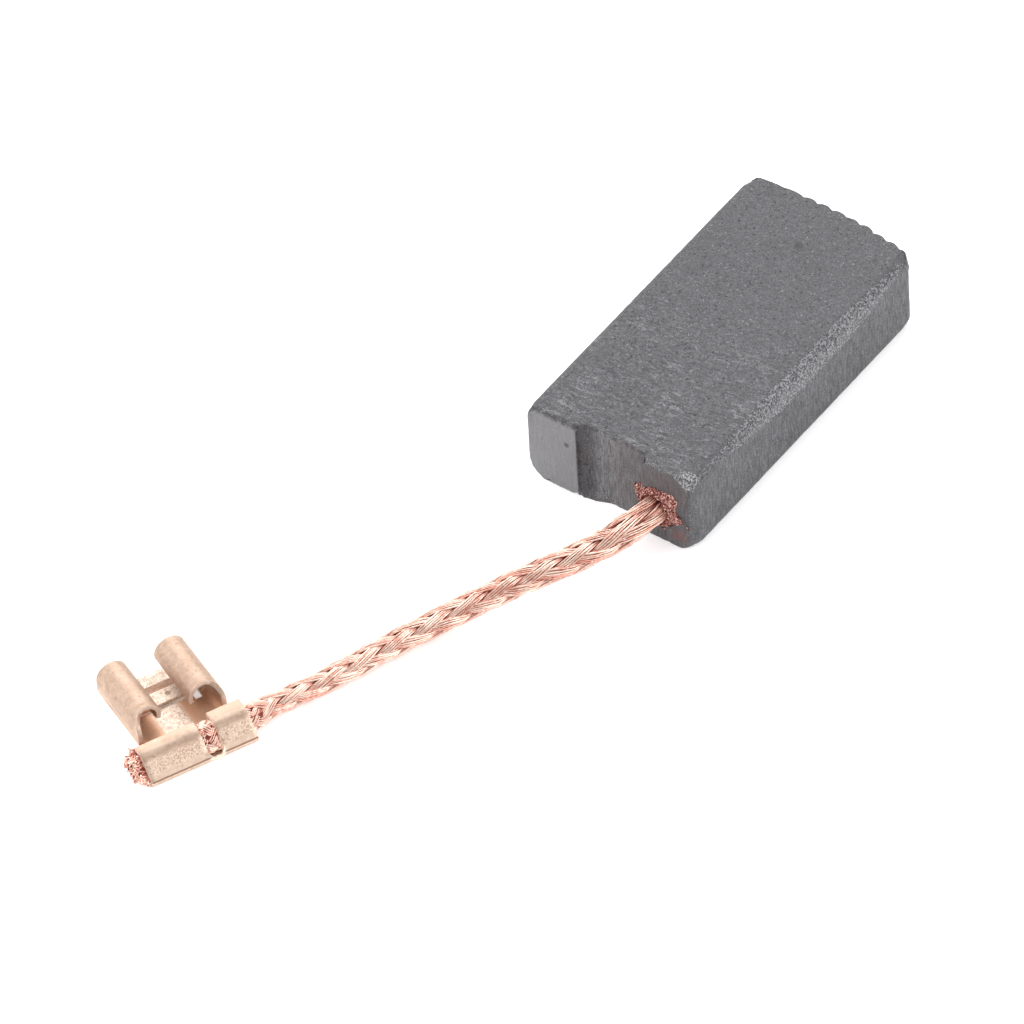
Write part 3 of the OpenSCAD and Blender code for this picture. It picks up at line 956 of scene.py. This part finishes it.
def cut_bed():
    """Where the cut wires end: a net across the crimp's open end, as high as its room."""
    bm = bmesh.new()
    reach = bm.verts.layers.float.new("reach")
    across, up = 12, 8
    rows = []
    for i in range(across + 1):
        v = mix(*CUT_V, i / across)
        top = min(v * math.tan(STRAP_SLOPE) + 0.05, CRIMP_H - SHEET_T)
        row = []
        for j in range(up + 1):
            z = mix(SHEET_T, max(top, 0.4), j / up)
            vert = bm.verts.new(from_terminal(CUT_U, v, z))
            from_side = smooth(min(i, across - i) / 4)
            from_floor = smooth(min(j + 1, up - j + 2) / 4)
            vert[reach] = 0.55 + 0.45 * from_side * from_floor
            row.append(vert)
        rows.append(row)
    skin(bm, rows, looped=False)
    for face in bm.faces:
        face.normal_update()
        if face.normal.dot(from_terminal(-1, 0, 0) - TERMINAL_AT) < 0:
            face.normal_flip()
    bmesh.ops.scale(bm, vec=(MM, MM, MM), verts=bm.verts)
    mesh = bpy.data.meshes.new("pigtail_cut_end")
    bm.to_mesh(mesh)
    bm.free()
    return new_object("pigtail_cut_end", mesh)


def cut_tree(material):
    """Short curly wires that stand out of the crimp's open end."""
    tree, net, given = tree_with("cut_wire_ends", {
        "Wires per square metre": 1.3e8,
        "Wire diameter": WIRE_D * MM,
        "Length": 0.74 * MM,
        "Splay": 0.5,
        "Curl": 0.42 * MM,
        "Seed": 5,
    })
    seed, wire_d = given["Seed"], given["Wire diameter"]
    points, upright = scattered(net, given["Geometry"], given["Wires per square metre"], seed)
    wire = net.add("GeometryNodeCurvePrimitiveLine", {}, {"Start": (0, 0, 0), "End": (0, 0, 1)})
    wire = net.add("GeometryNodeResampleCurve", {}, {"Curve": wire, "Count": 9})
    span = given["Length"] * named(net, "reach") * random_value(net, "FLOAT", 0.7, 1.1, seed)
    placed = net.add("GeometryNodeInstanceOnPoints", {}, {
        "Points": points, "Instance": wire, "Rotation": upright,
        "Scale": net.joined(span, span, span)})
    tilt = random_value(net, "FLOAT_VECTOR", (-1, -1, 0), (1, 1, 6), seed + 1)
    tilt = net.vector("MULTIPLY", tilt, net.joined(given["Splay"], given["Splay"], 1))
    turned = net.add("GeometryNodeRotateInstances", {}, {"Instances": placed, "Rotation": tilt})
    shade = random_value(net, "FLOAT", 0.0, 1.0, seed + 2)
    shaded = stored(net, turned, "shade", shade, "INSTANCE")
    real = net.add("GeometryNodeRealizeInstances", {}, {"Geometry": shaded})
    along = net.add("GeometryNodeSplineParameter")
    # Painted shade on each cut wire, darkest at its root in the crimp and fading towards its tip
    depth_shaded = stored(net, real, "buried", (1 - along) * 1.1)
    here = net.add("GeometryNodeInputPosition")
    away = net.vector("SUBTRACT", net.swirl(net.scaled(here, 1 / MM), 2.3, 1), (0.5, 0.5, 0.5))
    curled = net.vector("ADD", here, net.scaled(away, along * given["Curl"] * 2))
    # Only z counts here: no wire dips below the surface that the brush lies on
    lifted = net.vector("MAXIMUM", curled, net.joined(-1, -1, wire_d))
    moved = net.add("GeometryNodeSetPosition", {}, {"Geometry": depth_shaded, "Position": lifted})
    finish_tree(net, swept(net, moved, wire_d, 6), material)
    return tree


def make_cut_end(material):
    cut_end = cut_bed()
    run_tree(cut_end, cut_tree(material))
    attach(cut_end, "root")
    return cut_end


def make_pigtail(material):
    braid, points, length = braid_guide()
    run_tree(braid, braid_tree(material))
    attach(braid, "root")
    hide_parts("pigtail")
    return braid, points, length


# ---------------------------------------------------------------- carbon block

def wire_end_plan(count):
    """The wire end seen from above, (x, y) from the wire side to the ear side, inside the corners."""
    ear_x = WIRE_X + EAR_RECESS
    floor_x = WIRE_X + GROOVE_DEPTH
    fillet = (floor_x - GROOVE_FILLET_R, EAR_INNER_Y - GROOVE_FILLET_R)
    rub = 0.09
    line = [(WIRE_X, RIGHT_Y)]
    line += arc((WIRE_X + rub, GROOVE_LOW_Y - rub), rub, 180, 90, 4)
    line += arc((floor_x - rub, GROOVE_LOW_Y + rub), rub, -90, 0, 3)
    line += arc(fillet, GROOVE_FILLET_R, 0, 90, 9)
    line += arc((ear_x + rub, EAR_INNER_Y + rub), rub, -90, -180, 4)
    line += [(ear_x, LEFT_Y)]
    return evenly(line, count)


# Between these two places the section's upper and lower faces are both flat
RIGHT_Y = -HALF_W + WIRE_EDGE_R
LEFT_Y = HALF_W - EAR_EDGE_R
# Beyond this place towards the wire side, the contact end has worn back by a little
WORN_RIDGES_Y = -3.1
WORN_RIDGES_BY = 0.13


def contact_x_at(y):
    """How far the contact end reaches at y: nine run-in ridges on a slight crown."""
    crown = CONTACT_X - (y - CROWN_Y) ** 2 / (2 * CROWN_R)
    ridge_r = RIDGE_PITCH ** 2 / (8 * RIDGE_H) + RIDGE_H / 2
    step = clamp(round((y - FIRST_RIDGE_Y) / RIDGE_PITCH), 0, RIDGE_COUNT - 1)
    ridge_y = FIRST_RIDGE_Y + step * RIDGE_PITCH
    drop = 0 if y > ridge_y and step == RIDGE_COUNT - 1 else (y - ridge_y) ** 2 / (2 * ridge_r)
    chipped = WORN_RIDGES_BY * smooth(-y, -WORN_RIDGES_Y - 0.1, -WORN_RIDGES_Y + 0.15)
    return crown - min(drop, RIDGE_H) - chipped


def corner_drop(y, r):
    """How far an upright corner of radius r falls back at y."""
    into = clamp(abs(y) - (HALF_W - r), 0, r)
    return r - math.sqrt(max(r * r - into * into, 0))


def section_ring(straight):
    """The block's section, (y, z, index in the straight part or None), anticlockwise from the right.

    straight holds the y places that the upper and lower faces share.
    """
    top = BLOCK_T
    ring = [(y, top, i) for i, y in reversed(list(enumerate(straight)))]
    right = [(y, top) for y in spread(RIGHT_Y, -HALF_W + TOP_EDGE_R, 3)[1:]]
    right += arc((-HALF_W + TOP_EDGE_R, top - TOP_EDGE_R), TOP_EDGE_R, 90, 180, 9)[1:]
    right += [(-HALF_W, z) for z in spread(top - TOP_EDGE_R, WIRE_EDGE_R, 36)[1:]]
    right += arc((-HALF_W + WIRE_EDGE_R, WIRE_EDGE_R), WIRE_EDGE_R, 180, 270, 9)[1:-1]
    ring += [(y, z, None) for y, z in right]
    ring += [(y, 0, i) for i, y in enumerate(straight)]
    left = arc((HALF_W - EAR_EDGE_R, EAR_EDGE_R), EAR_EDGE_R, 270, 360, 20)[1:]
    left += [(HALF_W, z) for z in spread(EAR_EDGE_R, top - TOP_EDGE_R, 28)[1:]]
    left += arc((HALF_W - TOP_EDGE_R, top - TOP_EDGE_R), TOP_EDGE_R, 0, 90, 9)[1:]
    left += [(y, top) for y in spread(HALF_W - TOP_EDGE_R, LEFT_Y, 10)[1:-1]]
    ring += [(y, z, None) for y, z in left]
    return ring


# Chips in the wire end's upper and lower edge: how deep, and where along y each one starts,
# is whole, begins to fade and ends
UPPER_CHIPS = [(0.16, 2.4, 2.8, 3.6, 4.5), (0.14, -9, -8, -5.8, -4.6), (0.12, 2.4, 2.6, 3.6, 4.3)]
LOWER_CHIPS = [(0.22, 2.3, 2.7, 4.4, 5.2), (0.25, -9, -8, -6, -5.2), (-0.05, 0.5, 1, 2.2, 2.4)]


def edge_wear(y, z, contact):
    """Radius of the broken edge round either end, larger where the edge has chipped."""
    place = (y, z, 40 if contact else 0)
    rough = max(0, wobble(place, 0.5)) * 0.12 + max(0, wobble(place, 0.17, 3.1)) * 0.07
    wear = 0.06 + rough
    if not contact:
        chips = UPPER_CHIPS if z > BLOCK_T / 2 else LOWER_CHIPS
        wear += sum(deep * window(y, *span) for deep, *span in chips)
    return max(wear, 0.02)


def inward(y, z):
    """The direction from the section's outline into it."""
    centre_y = clamp(y, RIGHT_Y, LEFT_Y)
    lower_r = EAR_EDGE_R if y > 0 else WIRE_EDGE_R
    centre_z = clamp(z, lower_r, BLOCK_T - TOP_EDGE_R)
    if z > BLOCK_T / 2:
        centre_y = clamp(y, -HALF_W + TOP_EDGE_R, HALF_W - TOP_EDGE_R)
    away = Vector((centre_y - y, centre_z - z))
    return away.normalized() if away.length > 1e-6 else Vector((0, 0))


def block_rings():
    """Rings of points from the middle of the wire end, along the block, to the contact end's."""
    count = 104
    wire_plan = wire_end_plan(count)
    contact_ys = spread(RIGHT_Y, LEFT_Y, count)
    wire_ring = section_ring([y for x, y in wire_plan])
    contact_ring = section_ring(contact_ys)
    turns = [math.radians(a) for a in (90, 72, 54, 36, 18, 0)]
    insets = [1 - (1 - i / 26) ** 1.6 for i in range(27)]

    def wire_x_at(y, index):
        if index is not None:
            return wire_plan[index][0]
        face = WIRE_X if y < 0 else WIRE_X + EAR_RECESS
        return face + corner_drop(y, WIRE_CORNER_R if y < 0 else EAR_CORNER_R)

    def ring_at_end(ring, contact, turn=0.0, inset=0.0):
        """One ring: turned over the end's edge, or on the end face at inset towards its middle."""
        found = []
        for y, z, index in ring:
            wear = edge_wear(y, z, contact)
            pull = inward(y, z) * wear * (1 - math.cos(turn) if not inset else 1)
            py, pz = y + pull.x, z + pull.y
            middle_y = y if index is not None else clamp(y, RIGHT_Y, LEFT_Y)
            middle_z = BLOCK_T / 2
            if inset:
                py, pz = mix(py, middle_y, inset), mix(pz, middle_z, inset)
            if contact:
                x = contact_x_at(py) - corner_drop(py, CONTACT_CORNER_R)
                x -= wear * (1 - math.sin(turn)) if not inset else 0
            else:
                x = wire_x_at(py, index)
                x += wear * (1 - math.sin(turn)) if not inset else 0
            found.append(Vector((x, py, pz)))
        return found

    # Each end closes along its own middle line, where the last inset is 1
    rings = [ring_at_end(wire_ring, False, inset=i) for i in reversed(insets[1:])]
    rings += [ring_at_end(wire_ring, False, turn=t) for t in turns]
    first = rings[-1]
    contact = [ring_at_end(contact_ring, True, turn=t) for t in reversed(turns)]
    contact += [ring_at_end(contact_ring, True, inset=i) for i in insets[1:]]
    stations = 170
    for k in range(1, stations):
        t = k / stations
        rings.append([a.lerp(b, t) for a, b in zip(first, contact[0])])
    return rings + contact


# Dents, as place, radius and depth: the pit on the ear, the nick in its lower edge, the
# dent near the contact end, and the corners that have broken off
DENTS = [
    ((WIRE_X, *EAR_PIT), 0.2, 0.12),
    ((WIRE_X, 4.8, 0.2), 0.36, 0.2),
    ((*DARK_DENT, BLOCK_T), 0.35, 0.04),
    ((WIRE_X, HALF_W, BLOCK_T), 1.0, 0.35),
    ((WIRE_X, EAR_INNER_Y, BLOCK_T), 0.5, 0.2),
    ((WIRE_X, EAR_INNER_Y, 0), 0.7, 0.2),
    ((WIRE_X, GROOVE_LOW_Y, BLOCK_T), 0.6, 0.25),
    ((WIRE_X, -HALF_W, BLOCK_T), 0.8, 0.2),
    ((WIRE_X, -HALF_W, 0), 1.2, 0.3),
    ((CONTACT_X - 0.4, HALF_W, BLOCK_T), 0.9, 0.3),
    ((CONTACT_X - 1.1, -HALF_W, BLOCK_T), 1.0, 0.25),
    ((CONTACT_X - 1.1, -HALF_W, 0), 0.9, 0.25),
]


# The ground faces' fine and broad waves, and how deep and wide their rims have crumbled
FINE_WAVE = 0.008
BROAD_WAVE = 0.012
CRUMBLE = 0.06
RIM_W = 0.9
# The groove's fillet runs out wider at the bottom, by this much, from this height down
FLARE = 0.4
FLARE_Z = 0.9


def roughen(point, normal):
    """Pressed and ground graphite is never quite flat, and its corners have crumbled."""
    y_edge = HALF_W - abs(point.y)
    z_edge = min(BLOCK_T - point.z, point.z)
    rim = smooth(RIM_W - y_edge, 0, RIM_W) * smooth(RIM_W - z_edge, 0, RIM_W)
    depth = FINE_WAVE * wobble(point, 0.35) + BROAD_WAVE * wobble(point, 2.5, 1.3)
    depth -= CRUMBLE * rim * max(0, wobble(point, 0.4, 5.5) - 0.1)
    for place, size, deep in DENTS:
        away = (point - Vector(place)).length
        depth -= deep * smooth(size - away, 0, size) * (1 + 0.4 * wobble(point, 0.12, 2.2))
    if point.x < WIRE_X + GROOVE_DEPTH + 0.3:
        flare = FLARE * smooth(FLARE_Z - point.z, 0, FLARE_Z)
        flare *= window(point.y, 0.4, 1.9, EAR_INNER_Y - 0.3, EAR_INNER_Y + 0.3)
        point = point - Vector((flare * smooth(point.x - WIRE_X, 0.1, 0.7), 0, 0))
    moved = point + normal * (depth - GROUND_OFF)
    moved.z = clamp(moved.z, FACE_GAP, BLOCK_T - FACE_GAP)
    return moved


def make_block(material):
    bm = bmesh.new()
    skin(bm, [[bm.verts.new(p) for p in ring] for ring in block_rings()])
    bmesh.ops.remove_doubles(bm, verts=bm.verts, dist=0.004)
    bmesh.ops.recalc_face_normals(bm, faces=bm.faces)
    bm.normal_update()
    moved = [roughen(v.co, v.normal) for v in bm.verts]
    for v, co in zip(bm.verts, moved):
        v.co = co
    block = new_object("graphite_block", mesh_from_bmesh("graphite_block", bm, 1e-5), material)

    drill = new_object("drill", drill_mesh())
    cut = block.modifiers.new("wire_hole", "BOOLEAN")
    cut.object = drill
    cut.operation = "DIFFERENCE"
    cut.solver = "EXACT"
    apply_modifiers(block)
    for face in block.data.polygons:
        face.use_smooth = True
    bpy.data.objects.remove(drill)
    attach(block, "root")
    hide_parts("carbon_block")


def round_hole(angle, r):
    """A place at distance r from the hole's middle, as y and z."""
    return HOLE_Y + r * math.cos(angle), HOLE_Z + r * math.sin(angle)


def drill_mesh():
    """What the drill takes out, with the mouth a little crumbled."""
    bm = bmesh.new()
    rows = []
    for depth in (-1, -0.1, 0.05, 0.3, 1, HOLE_DEPTH):
        ring = []
        for a in round_turn(48):
            mouth = smooth(0.5 - depth, 0, 0.5)
            spot = (math.cos(a) * 3, math.sin(a) * 3, 0)
            r = HOLE_D / 2 * (1 + 0.06 * mouth * (0.5 + wobble(spot, 1.2, 7)))
            ring.append(bm.verts.new((WIRE_X + depth, *round_hole(a, r))))
        rows.append(ring)
    skin(bm, rows)
    bm.faces.new(rows[0])
    bm.faces.new(rows[-1])
    return mesh_from_bmesh("drill", bm)


# ---------------------------------------------------------------- copper tamping

# How far the powder has smeared over the face: angle from the ear side upwards, reach
HALO = [
    (-180, 1.75), (-172, 2.05), (-158, 1.75), (-140, 1.45), (-110, 1.6), (-70, 1.55), (-50, 1.7),
    (-30, 2.1), (1, 2.15), (15, 1.85), (32, 1.4), (50, 1.35), (65, 1.4), (98, 1.55), (117, 1.85),
    (132, 2.1), (144, 2), (160, 1.5), (180, 1.75),
]
# The collar of powder leaves this much room for the braid, and fills the hole to this depth
COLLAR_R = 0.82
COLLAR_DEPTH = 5
# Its mound round the braid, its crumbs, and the hollow that the braid has left in it
MOUND_H = 0.3
CRUMB_H = 0.12
HOLLOW_H = 0.5
HOLLOW_R = 1.06
# Loose grains lie from here to there round the hole's middle
GRAINS_R = (1, 3)


def halo_reach(angle):
    degrees = (math.degrees(angle) + 180) % 360 - 180
    for (a0, r0), (a1, r1) in zip(HALO, HALO[1:]):
        if degrees <= a1:
            reach = mix(r0, r1, smooth(degrees, a0, a1))
            break
    spot = (math.cos(angle) * 2, math.sin(angle) * 2, 0)
    return reach + 0.16 * wobble(spot, 0.35, 2.8)


def face_x_at(y):
    """The wire end's face, beside the groove or in it."""
    return mix(WIRE_X, WIRE_X + GROOVE_DEPTH, smooth(y, GROOVE_LOW_Y - 0.05, GROOVE_LOW_Y + 0.12))


def powder_height(y, z):
    """How far the powder stands out of the face: a crumbly mound round the braid."""
    r = math.dist((y, z), (HOLE_Y, HOLE_Z))
    reach = halo_reach(math.atan2(z - HOLE_Z, y - HOLE_Y))
    mound = MOUND_H * smooth(reach - r, 0, 0.8) * (0.8 + 0.8 * wobble((y, z, 0), 0.3, 1.9))
    crumbs = CRUMB_H * wobble((y, z, 0), 0.13, 6.2)
    hollow = HOLLOW_H * smooth(HOLLOW_R - r, 0, 0.2)
    return (0.05 + mound + crumbs) * smooth(reach - r, 0, 0.25) - hollow


def make_tamping(material):
    """A crumbly collar of rammed powder: it fills the hole and smears over its mouth."""
    bm = bmesh.new()
    angles = round_turn(150)
    across = 34
    rows = []
    for i in range(across + 1):
        places = [round_hole(a, mix(COLLAR_R, halo_reach(a), i / across)) for a in angles]
        rows.append([(face_x_at(y) + 0.012 - powder_height(y, z), y, z) for y, z in places])
    # The collar goes on down the hole, and closes behind
    hole_r = HOLE_D / 2 - 0.02
    for depth, r in ((GROOVE_DEPTH + 0.5, hole_r), (COLLAR_DEPTH, hole_r), (COLLAR_DEPTH, COLLAR_R)):
        rows.append([(WIRE_X + depth, *round_hole(a, r)) for a in angles])
    rows = [[bm.verts.new(place) for place in row] for row in rows]
    skin(bm, rows + rows[:1])
    mesh = mesh_from_bmesh("copper_tamping_crust", bm)
    tamping = new_object("copper_tamping_crust", mesh, material)
    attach(tamping, "root")
    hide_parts("copper_tamping")


def grain_bed():
    """Where loose grains lie: a net round the mouth, each point with how thick they lie there."""
    bm = bmesh.new()
    cover = bm.verts.layers.float.new("cover")
    across = 30
    rows = []
    for i in range(across + 1):
        r = mix(*GRAINS_R, i / across)
        ring = []
        for a in round_turn(100):
            y, z = round_hole(a, r)
            z = max(z, 0.12)
            vert = bm.verts.new((face_x_at(y) - max(powder_height(y, z), 0.02), y, z))
            near = smooth(halo_reach(a) + 0.2 - r, 0, 0.4)
            # Hardly any grains cling to the groove's upright wall
            near *= 1 - 0.8 * smooth(0.12 - abs(y - GROOVE_LOW_Y - 0.03), 0, 0.04)
            vert[cover] = near + 0.02 * smooth(wobble((y, z, 0), 0.8, 3.3), 0.05, 0.5)
            ring.append(vert)
        rows.append(ring)
    skin(bm, rows, turned=True)
    return new_object("copper_grains", mesh_from_bmesh("copper_grains", bm, 1e-6))


def grain_tree(material):
    """Small round grains of powder, thick where the bed says so."""
    tree, net, given = tree_with("scattered_grains", {
        "Grains per square metre": 6e7,
        "Smallest": 0.03 * MM,
        "Largest": 0.08 * MM,
        "Seed": 11,
    })
    seed = given["Seed"]
    density = given["Grains per square metre"] * named(net, "cover")
    points = scattered(net, given["Geometry"], density, seed)[0]
    ball = net.add("GeometryNodeMeshIcoSphere", {}, {"Radius": 1.0, "Subdivisions": 1})
    placed = net.add("GeometryNodeInstanceOnPoints", {}, {
        "Points": points,
        "Instance": ball,
        "Rotation": random_value(net, "FLOAT_VECTOR", (0, 0, 0), (math.tau,) * 3, 0),
        "Scale": random_value(net, "FLOAT", given["Smallest"], given["Largest"], seed),
    })
    finish_tree(net, placed, material)
    return tree


def make_grains(material):
    grains = grain_bed()
    run_tree(grains, grain_tree(material))
    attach(grains, "root")


# ---------------------------------------------------------------- terminal
# The sheet is drawn at its middle, in the terminal's own frame, and then given its thickness.

def panel(bm, us, vs, place, keep=None):
    """A net of the blank between the u lines and v lines, folded by place(u, v)."""
    rows = [[bm.verts.new(from_terminal(*place(u, v))) for v in vs] for u in us]
    for i in range(len(us) - 1):
        for j in range(len(vs) - 1):
            middle = ((us[i] + us[i + 1]) / 2, (vs[j] + vs[j + 1]) / 2)
            if keep is None or keep(*middle):
                bm.faces.new((rows[i][j], rows[i + 1][j], rows[i + 1][j + 1], rows[i][j + 1]))


def lines(*stops, pitch=0.3):
    """Sorted places that include every stop, at most pitch apart."""
    stops = sorted(set(round(s, 6) for s in stops))
    found = [stops[0]]
    for a, b in zip(stops, stops[1:]):
        steps = max(1, math.ceil((b - a) / pitch))
        found += spread(a, b, steps + 1)[1:]
    return found


MID = SHEET_T / 2
HEEL_MID_R = HEEL_R - MID
CROWN_MID_R = CROWN_FOLD_R - MID
# The slope touches both the heel's circle and the crown's, whose middle is at CROWN_V and CROWN_Z
SLOPE_COS = math.cos(STRAP_SLOPE)
SLOPE_SIN = math.sin(STRAP_SLOPE)
CROWN_Z = CRIMP_H - CROWN_FOLD_R
CROWN_V = HEEL_R + (SLOPE_COS * (CROWN_Z - HEEL_R) + CROWN_FOLD_R - HEEL_R) / SLOPE_SIN
SLOPE_L = SLOPE_COS * (CROWN_V - HEEL_R) + SLOPE_SIN * (CROWN_Z - HEEL_R)
HEEL_LENGTH = (math.pi - STRAP_SLOPE) * HEEL_MID_R
CROWN_LENGTH = STRAP_SLOPE * CROWN_MID_R
BEND_MID_R = FLOOR_BEND_R - MID
ROLL_MID_R = ROLL_R - MID
ROLL_TOP_Z = ROLL_H - ROLL_R
ROLL_LEFT_U = RECEPTACLE_U - RECEPTACLE_W / 2
BEND_LENGTH = math.pi / 2 * BEND_MID_R
WALL_LENGTH = ROLL_TOP_Z - FLOOR_BEND_R
CURL_LENGTH = math.radians(180 + FREE_EDGE_DIP) * ROLL_MID_R
TONGUE_FOOT = FLOOR_END - FLOOR_LIP_L
TONGUE_FREE = TONGUE_FOOT - TONGUE_RAMP_L - TONGUE_PAD_L
# The cut is wider at the tongue's right corner
NOTCH_U = 5.65
NOTCH_V = 4.95
# The slot's foot, measured along the strap: its middle and its two ends, pushed out a little
SLOT_FOOT_S = 0.3
SLOT_TOP_S = 0.78
FOOT_PUSH = 0.07
# The straps' places are this close together, and those of the floor and the walls
STRAP_PITCH = 0.12
FLOOR_PITCH = 0.25
FOLD_STEPS = 10
SHEARED_EDGE_R = 0.035


def around(centre, radius, angle):
    """A place on a circle, the angle in radians."""
    return centre[0] + radius * math.cos(angle), centre[1] + radius * math.sin(angle)


def strap_place(s):
    """A place on a strap's middle, s along the sheet from the floor: heel, slope, crown, flat."""
    if s < HEEL_LENGTH:
        return around((HEEL_R, HEEL_R), HEEL_MID_R, math.radians(270) - s / HEEL_MID_R)
    s -= HEEL_LENGTH
    if s < SLOPE_L:
        return (HEEL_R - SLOPE_SIN * HEEL_MID_R + s * SLOPE_COS,
                HEEL_R + SLOPE_COS * HEEL_MID_R + s * SLOPE_SIN)
    s -= SLOPE_L
    if s < CROWN_LENGTH:
        turn = math.radians(90) + STRAP_SLOPE - s / CROWN_MID_R
        return around((CROWN_V, CROWN_Z), CROWN_MID_R, turn)
    return CROWN_V + s - CROWN_LENGTH, CRIMP_H - MID


def make_straps(bm):
    heel = spread(0, HEEL_LENGTH, FOLD_STEPS + 1)
    crown = HEEL_LENGTH + SLOPE_L
    crown_lines = spread(crown, crown + CROWN_LENGTH, FOLD_STEPS + 1)

    def place(u, s):
        return (u, *strap_place(s))

    straps = ((0, WIDE_STRAP_W, WIDE_FLAT), (WIDE_STRAP_W + SLOT_W, CRIMP_W, NARROW_FLAT))
    for u0, u1, flat in straps:
        end = crown + CROWN_LENGTH + flat
        ss = lines(*heel, *slot_heights(), *crown_lines, end, pitch=STRAP_PITCH)
        us = [u for u in lines(*floor_lines()) if u0 - 1e-4 < u < u1 + 1e-4]
        panel(bm, us, ss, place)

    # The slot ends in a round foot between the straps
    middle = WIDE_STRAP_W + SLOT_W / 2
    rows = lines(*[h for h in heel if h <= SLOT_TOP_S], *slot_heights(), pitch=STRAP_PITCH)

    def foot(u, s):
        across = clamp(abs(u - middle) / (SLOT_W / 2))
        top = SLOT_TOP_S - (SLOT_TOP_S - SLOT_FOOT_S) * math.sqrt(1 - across * across)
        v, z = strap_place(s * top / SLOT_TOP_S)
        return u, v - FOOT_PUSH * (1 - across * across) * smooth(z, 0.05, SHEET_T), z

    us = [middle - SLOT_W / 2 * math.cos(math.pi * k / 12) for k in range(13)]
    panel(bm, us, rows, foot)


def slot_heights():
    """The s places that the straps and the slot's foot share."""
    return spread(0, SLOT_TOP_S, 9)


# Where the floor meets the bends of the two walls
FLOOR_LEFT_U = ROLL_LEFT_U + FLOOR_BEND_R
FLOOR_RIGHT_U = ROLL_LEFT_U + RECEPTACLE_W - FLOOR_BEND_R


def floor_lines():
    """The u places that the floor, the straps and the tongue share."""
    half = TONGUE_W / 2
    return (
        0, FLOOR_LEFT_U, WIDE_STRAP_W, WIDE_STRAP_W + SLOT_W,
        RECEPTACLE_U - half - TONGUE_CUT_W, RECEPTACLE_U - half,
        RECEPTACLE_U + half, RECEPTACLE_U + half + TONGUE_CUT_W, NOTCH_U,
        FLOOR_RIGHT_U, CRIMP_W,
    )


def lengthways(start):
    """The v places that the floor, the tongue and the rolls share."""
    return lines(start, WALL_START, NOTCH_V, TONGUE_FREE - END_CUT_W, TONGUE_FREE,
                 TONGUE_FREE + TONGUE_PAD_L, TONGUE_FOOT, FLOOR_END, pitch=FLOOR_PITCH)


def make_floor(bm):
    half = TONGUE_W / 2

    def keep(u, v):
        if v > WALL_START and not FLOOR_LEFT_U < u < FLOOR_RIGHT_U:
            return False
        aside = abs(u - RECEPTACLE_U)
        in_cut = aside < half + TONGUE_CUT_W and TONGUE_FREE - END_CUT_W < v < TONGUE_FOOT
        in_tongue = aside < half and v > TONGUE_FREE
        in_notch = u > NOTCH_U and NOTCH_V < v < TONGUE_FREE
        return not (in_cut or in_notch) or in_tongue

    def place(u, v):
        on_tongue = abs(u - RECEPTACLE_U) < half + 1e-4 and TONGUE_FREE - 1e-4 < v < TONGUE_FOOT
        rise = TONGUE_RISE * clamp((TONGUE_FOOT - v) / TONGUE_RAMP_L) if on_tongue else 0
        return u, v, MID + rise

    panel(bm, lines(*floor_lines()), lengthways(HEEL_R), place, keep)


def make_roll(bm, mirrored):
    """One wall with its roll, from the floor's bend to the free edge."""
    ss = [BEND_LENGTH * k / 6 for k in range(7)]
    ss += [BEND_LENGTH + WALL_LENGTH * k / 4 for k in range(1, 5)]
    ss += [BEND_LENGTH + WALL_LENGTH + CURL_LENGTH * k / 26 for k in range(1, 27)]
    top_s = BEND_LENGTH + WALL_LENGTH

    def section(s):
        if s < BEND_LENGTH:
            turn = math.radians(270) - s / BEND_MID_R
            return around((FLOOR_BEND_R, FLOOR_BEND_R), BEND_MID_R, turn)
        if s < top_s:
            return MID, FLOOR_BEND_R + s - BEND_LENGTH
        turn = math.radians(180) - (s - top_s) / ROLL_MID_R
        return around((ROLL_R, ROLL_TOP_Z), ROLL_MID_R, turn)

    def place(s, v):
        u, z = section(s)
        u = ROLL_LEFT_U + (RECEPTACLE_W - u if mirrored else u)
        near = mix(WALL_START, ROLL_START, smooth(s, top_s - 0.25, top_s + 1.3))
        far = mix(FLOOR_END, TERMINAL_L, smooth(s, 0, BEND_LENGTH + 0.3))
        t = (v - WALL_START) / (FLOOR_END - WALL_START)
        return u, mix(near, far, t), z

    panel(bm, ss, lengthways(WALL_START), place)


def make_terminal(material):
    bm = bmesh.new()
    make_straps(bm)
    make_floor(bm)
    make_roll(bm, False)
    make_roll(bm, True)
    loose = [v for v in bm.verts if not v.link_faces]
    bmesh.ops.delete(bm, geom=loose, context="VERTS")
    bmesh.ops.remove_doubles(bm, verts=bm.verts, dist=1e-3)
    for v in bm.verts:
        shift = 0.012 * wobble(v.co, 1.1, 2.7) + 0.006 * wobble(v.co, 0.45, 5.1)
        v.co.z += shift * smooth(v.co.z, 0.3, 1.0)
    mesh = mesh_from_bmesh("brass_terminal", bm, 1e-5)
    terminal = new_object("brass_terminal", mesh, material)
    wall = terminal.modifiers.new("sheet", "SOLIDIFY")
    wall.thickness = SHEET_T * MM
    wall.offset = 0
    wall.use_even_offset = True
    soft = terminal.modifiers.new("edges", "BEVEL")
    soft.width = SHEARED_EDGE_R * MM
    soft.segments = 2
    soft.limit_method = "ANGLE"
    soft.angle_limit = math.radians(50)
    terminal.modifiers.new("normals", "WEIGHTED_NORMAL").keep_sharp = True
    apply_modifiers(terminal)
    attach(terminal, "root")
    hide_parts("terminal")
    return terminal


# ---------------------------------------------------------------- the whole brush

make_camera()
copper = copper_wire_finish()
braid, braid_points, braid_length = make_pigtail(copper)
make_studio()
terminal = make_terminal(brass_finish())
cut_end = make_cut_end(copper)
powder = copper_powder_finish()
make_block(graphite_finish())
make_tamping(powder)
make_grains(powder)
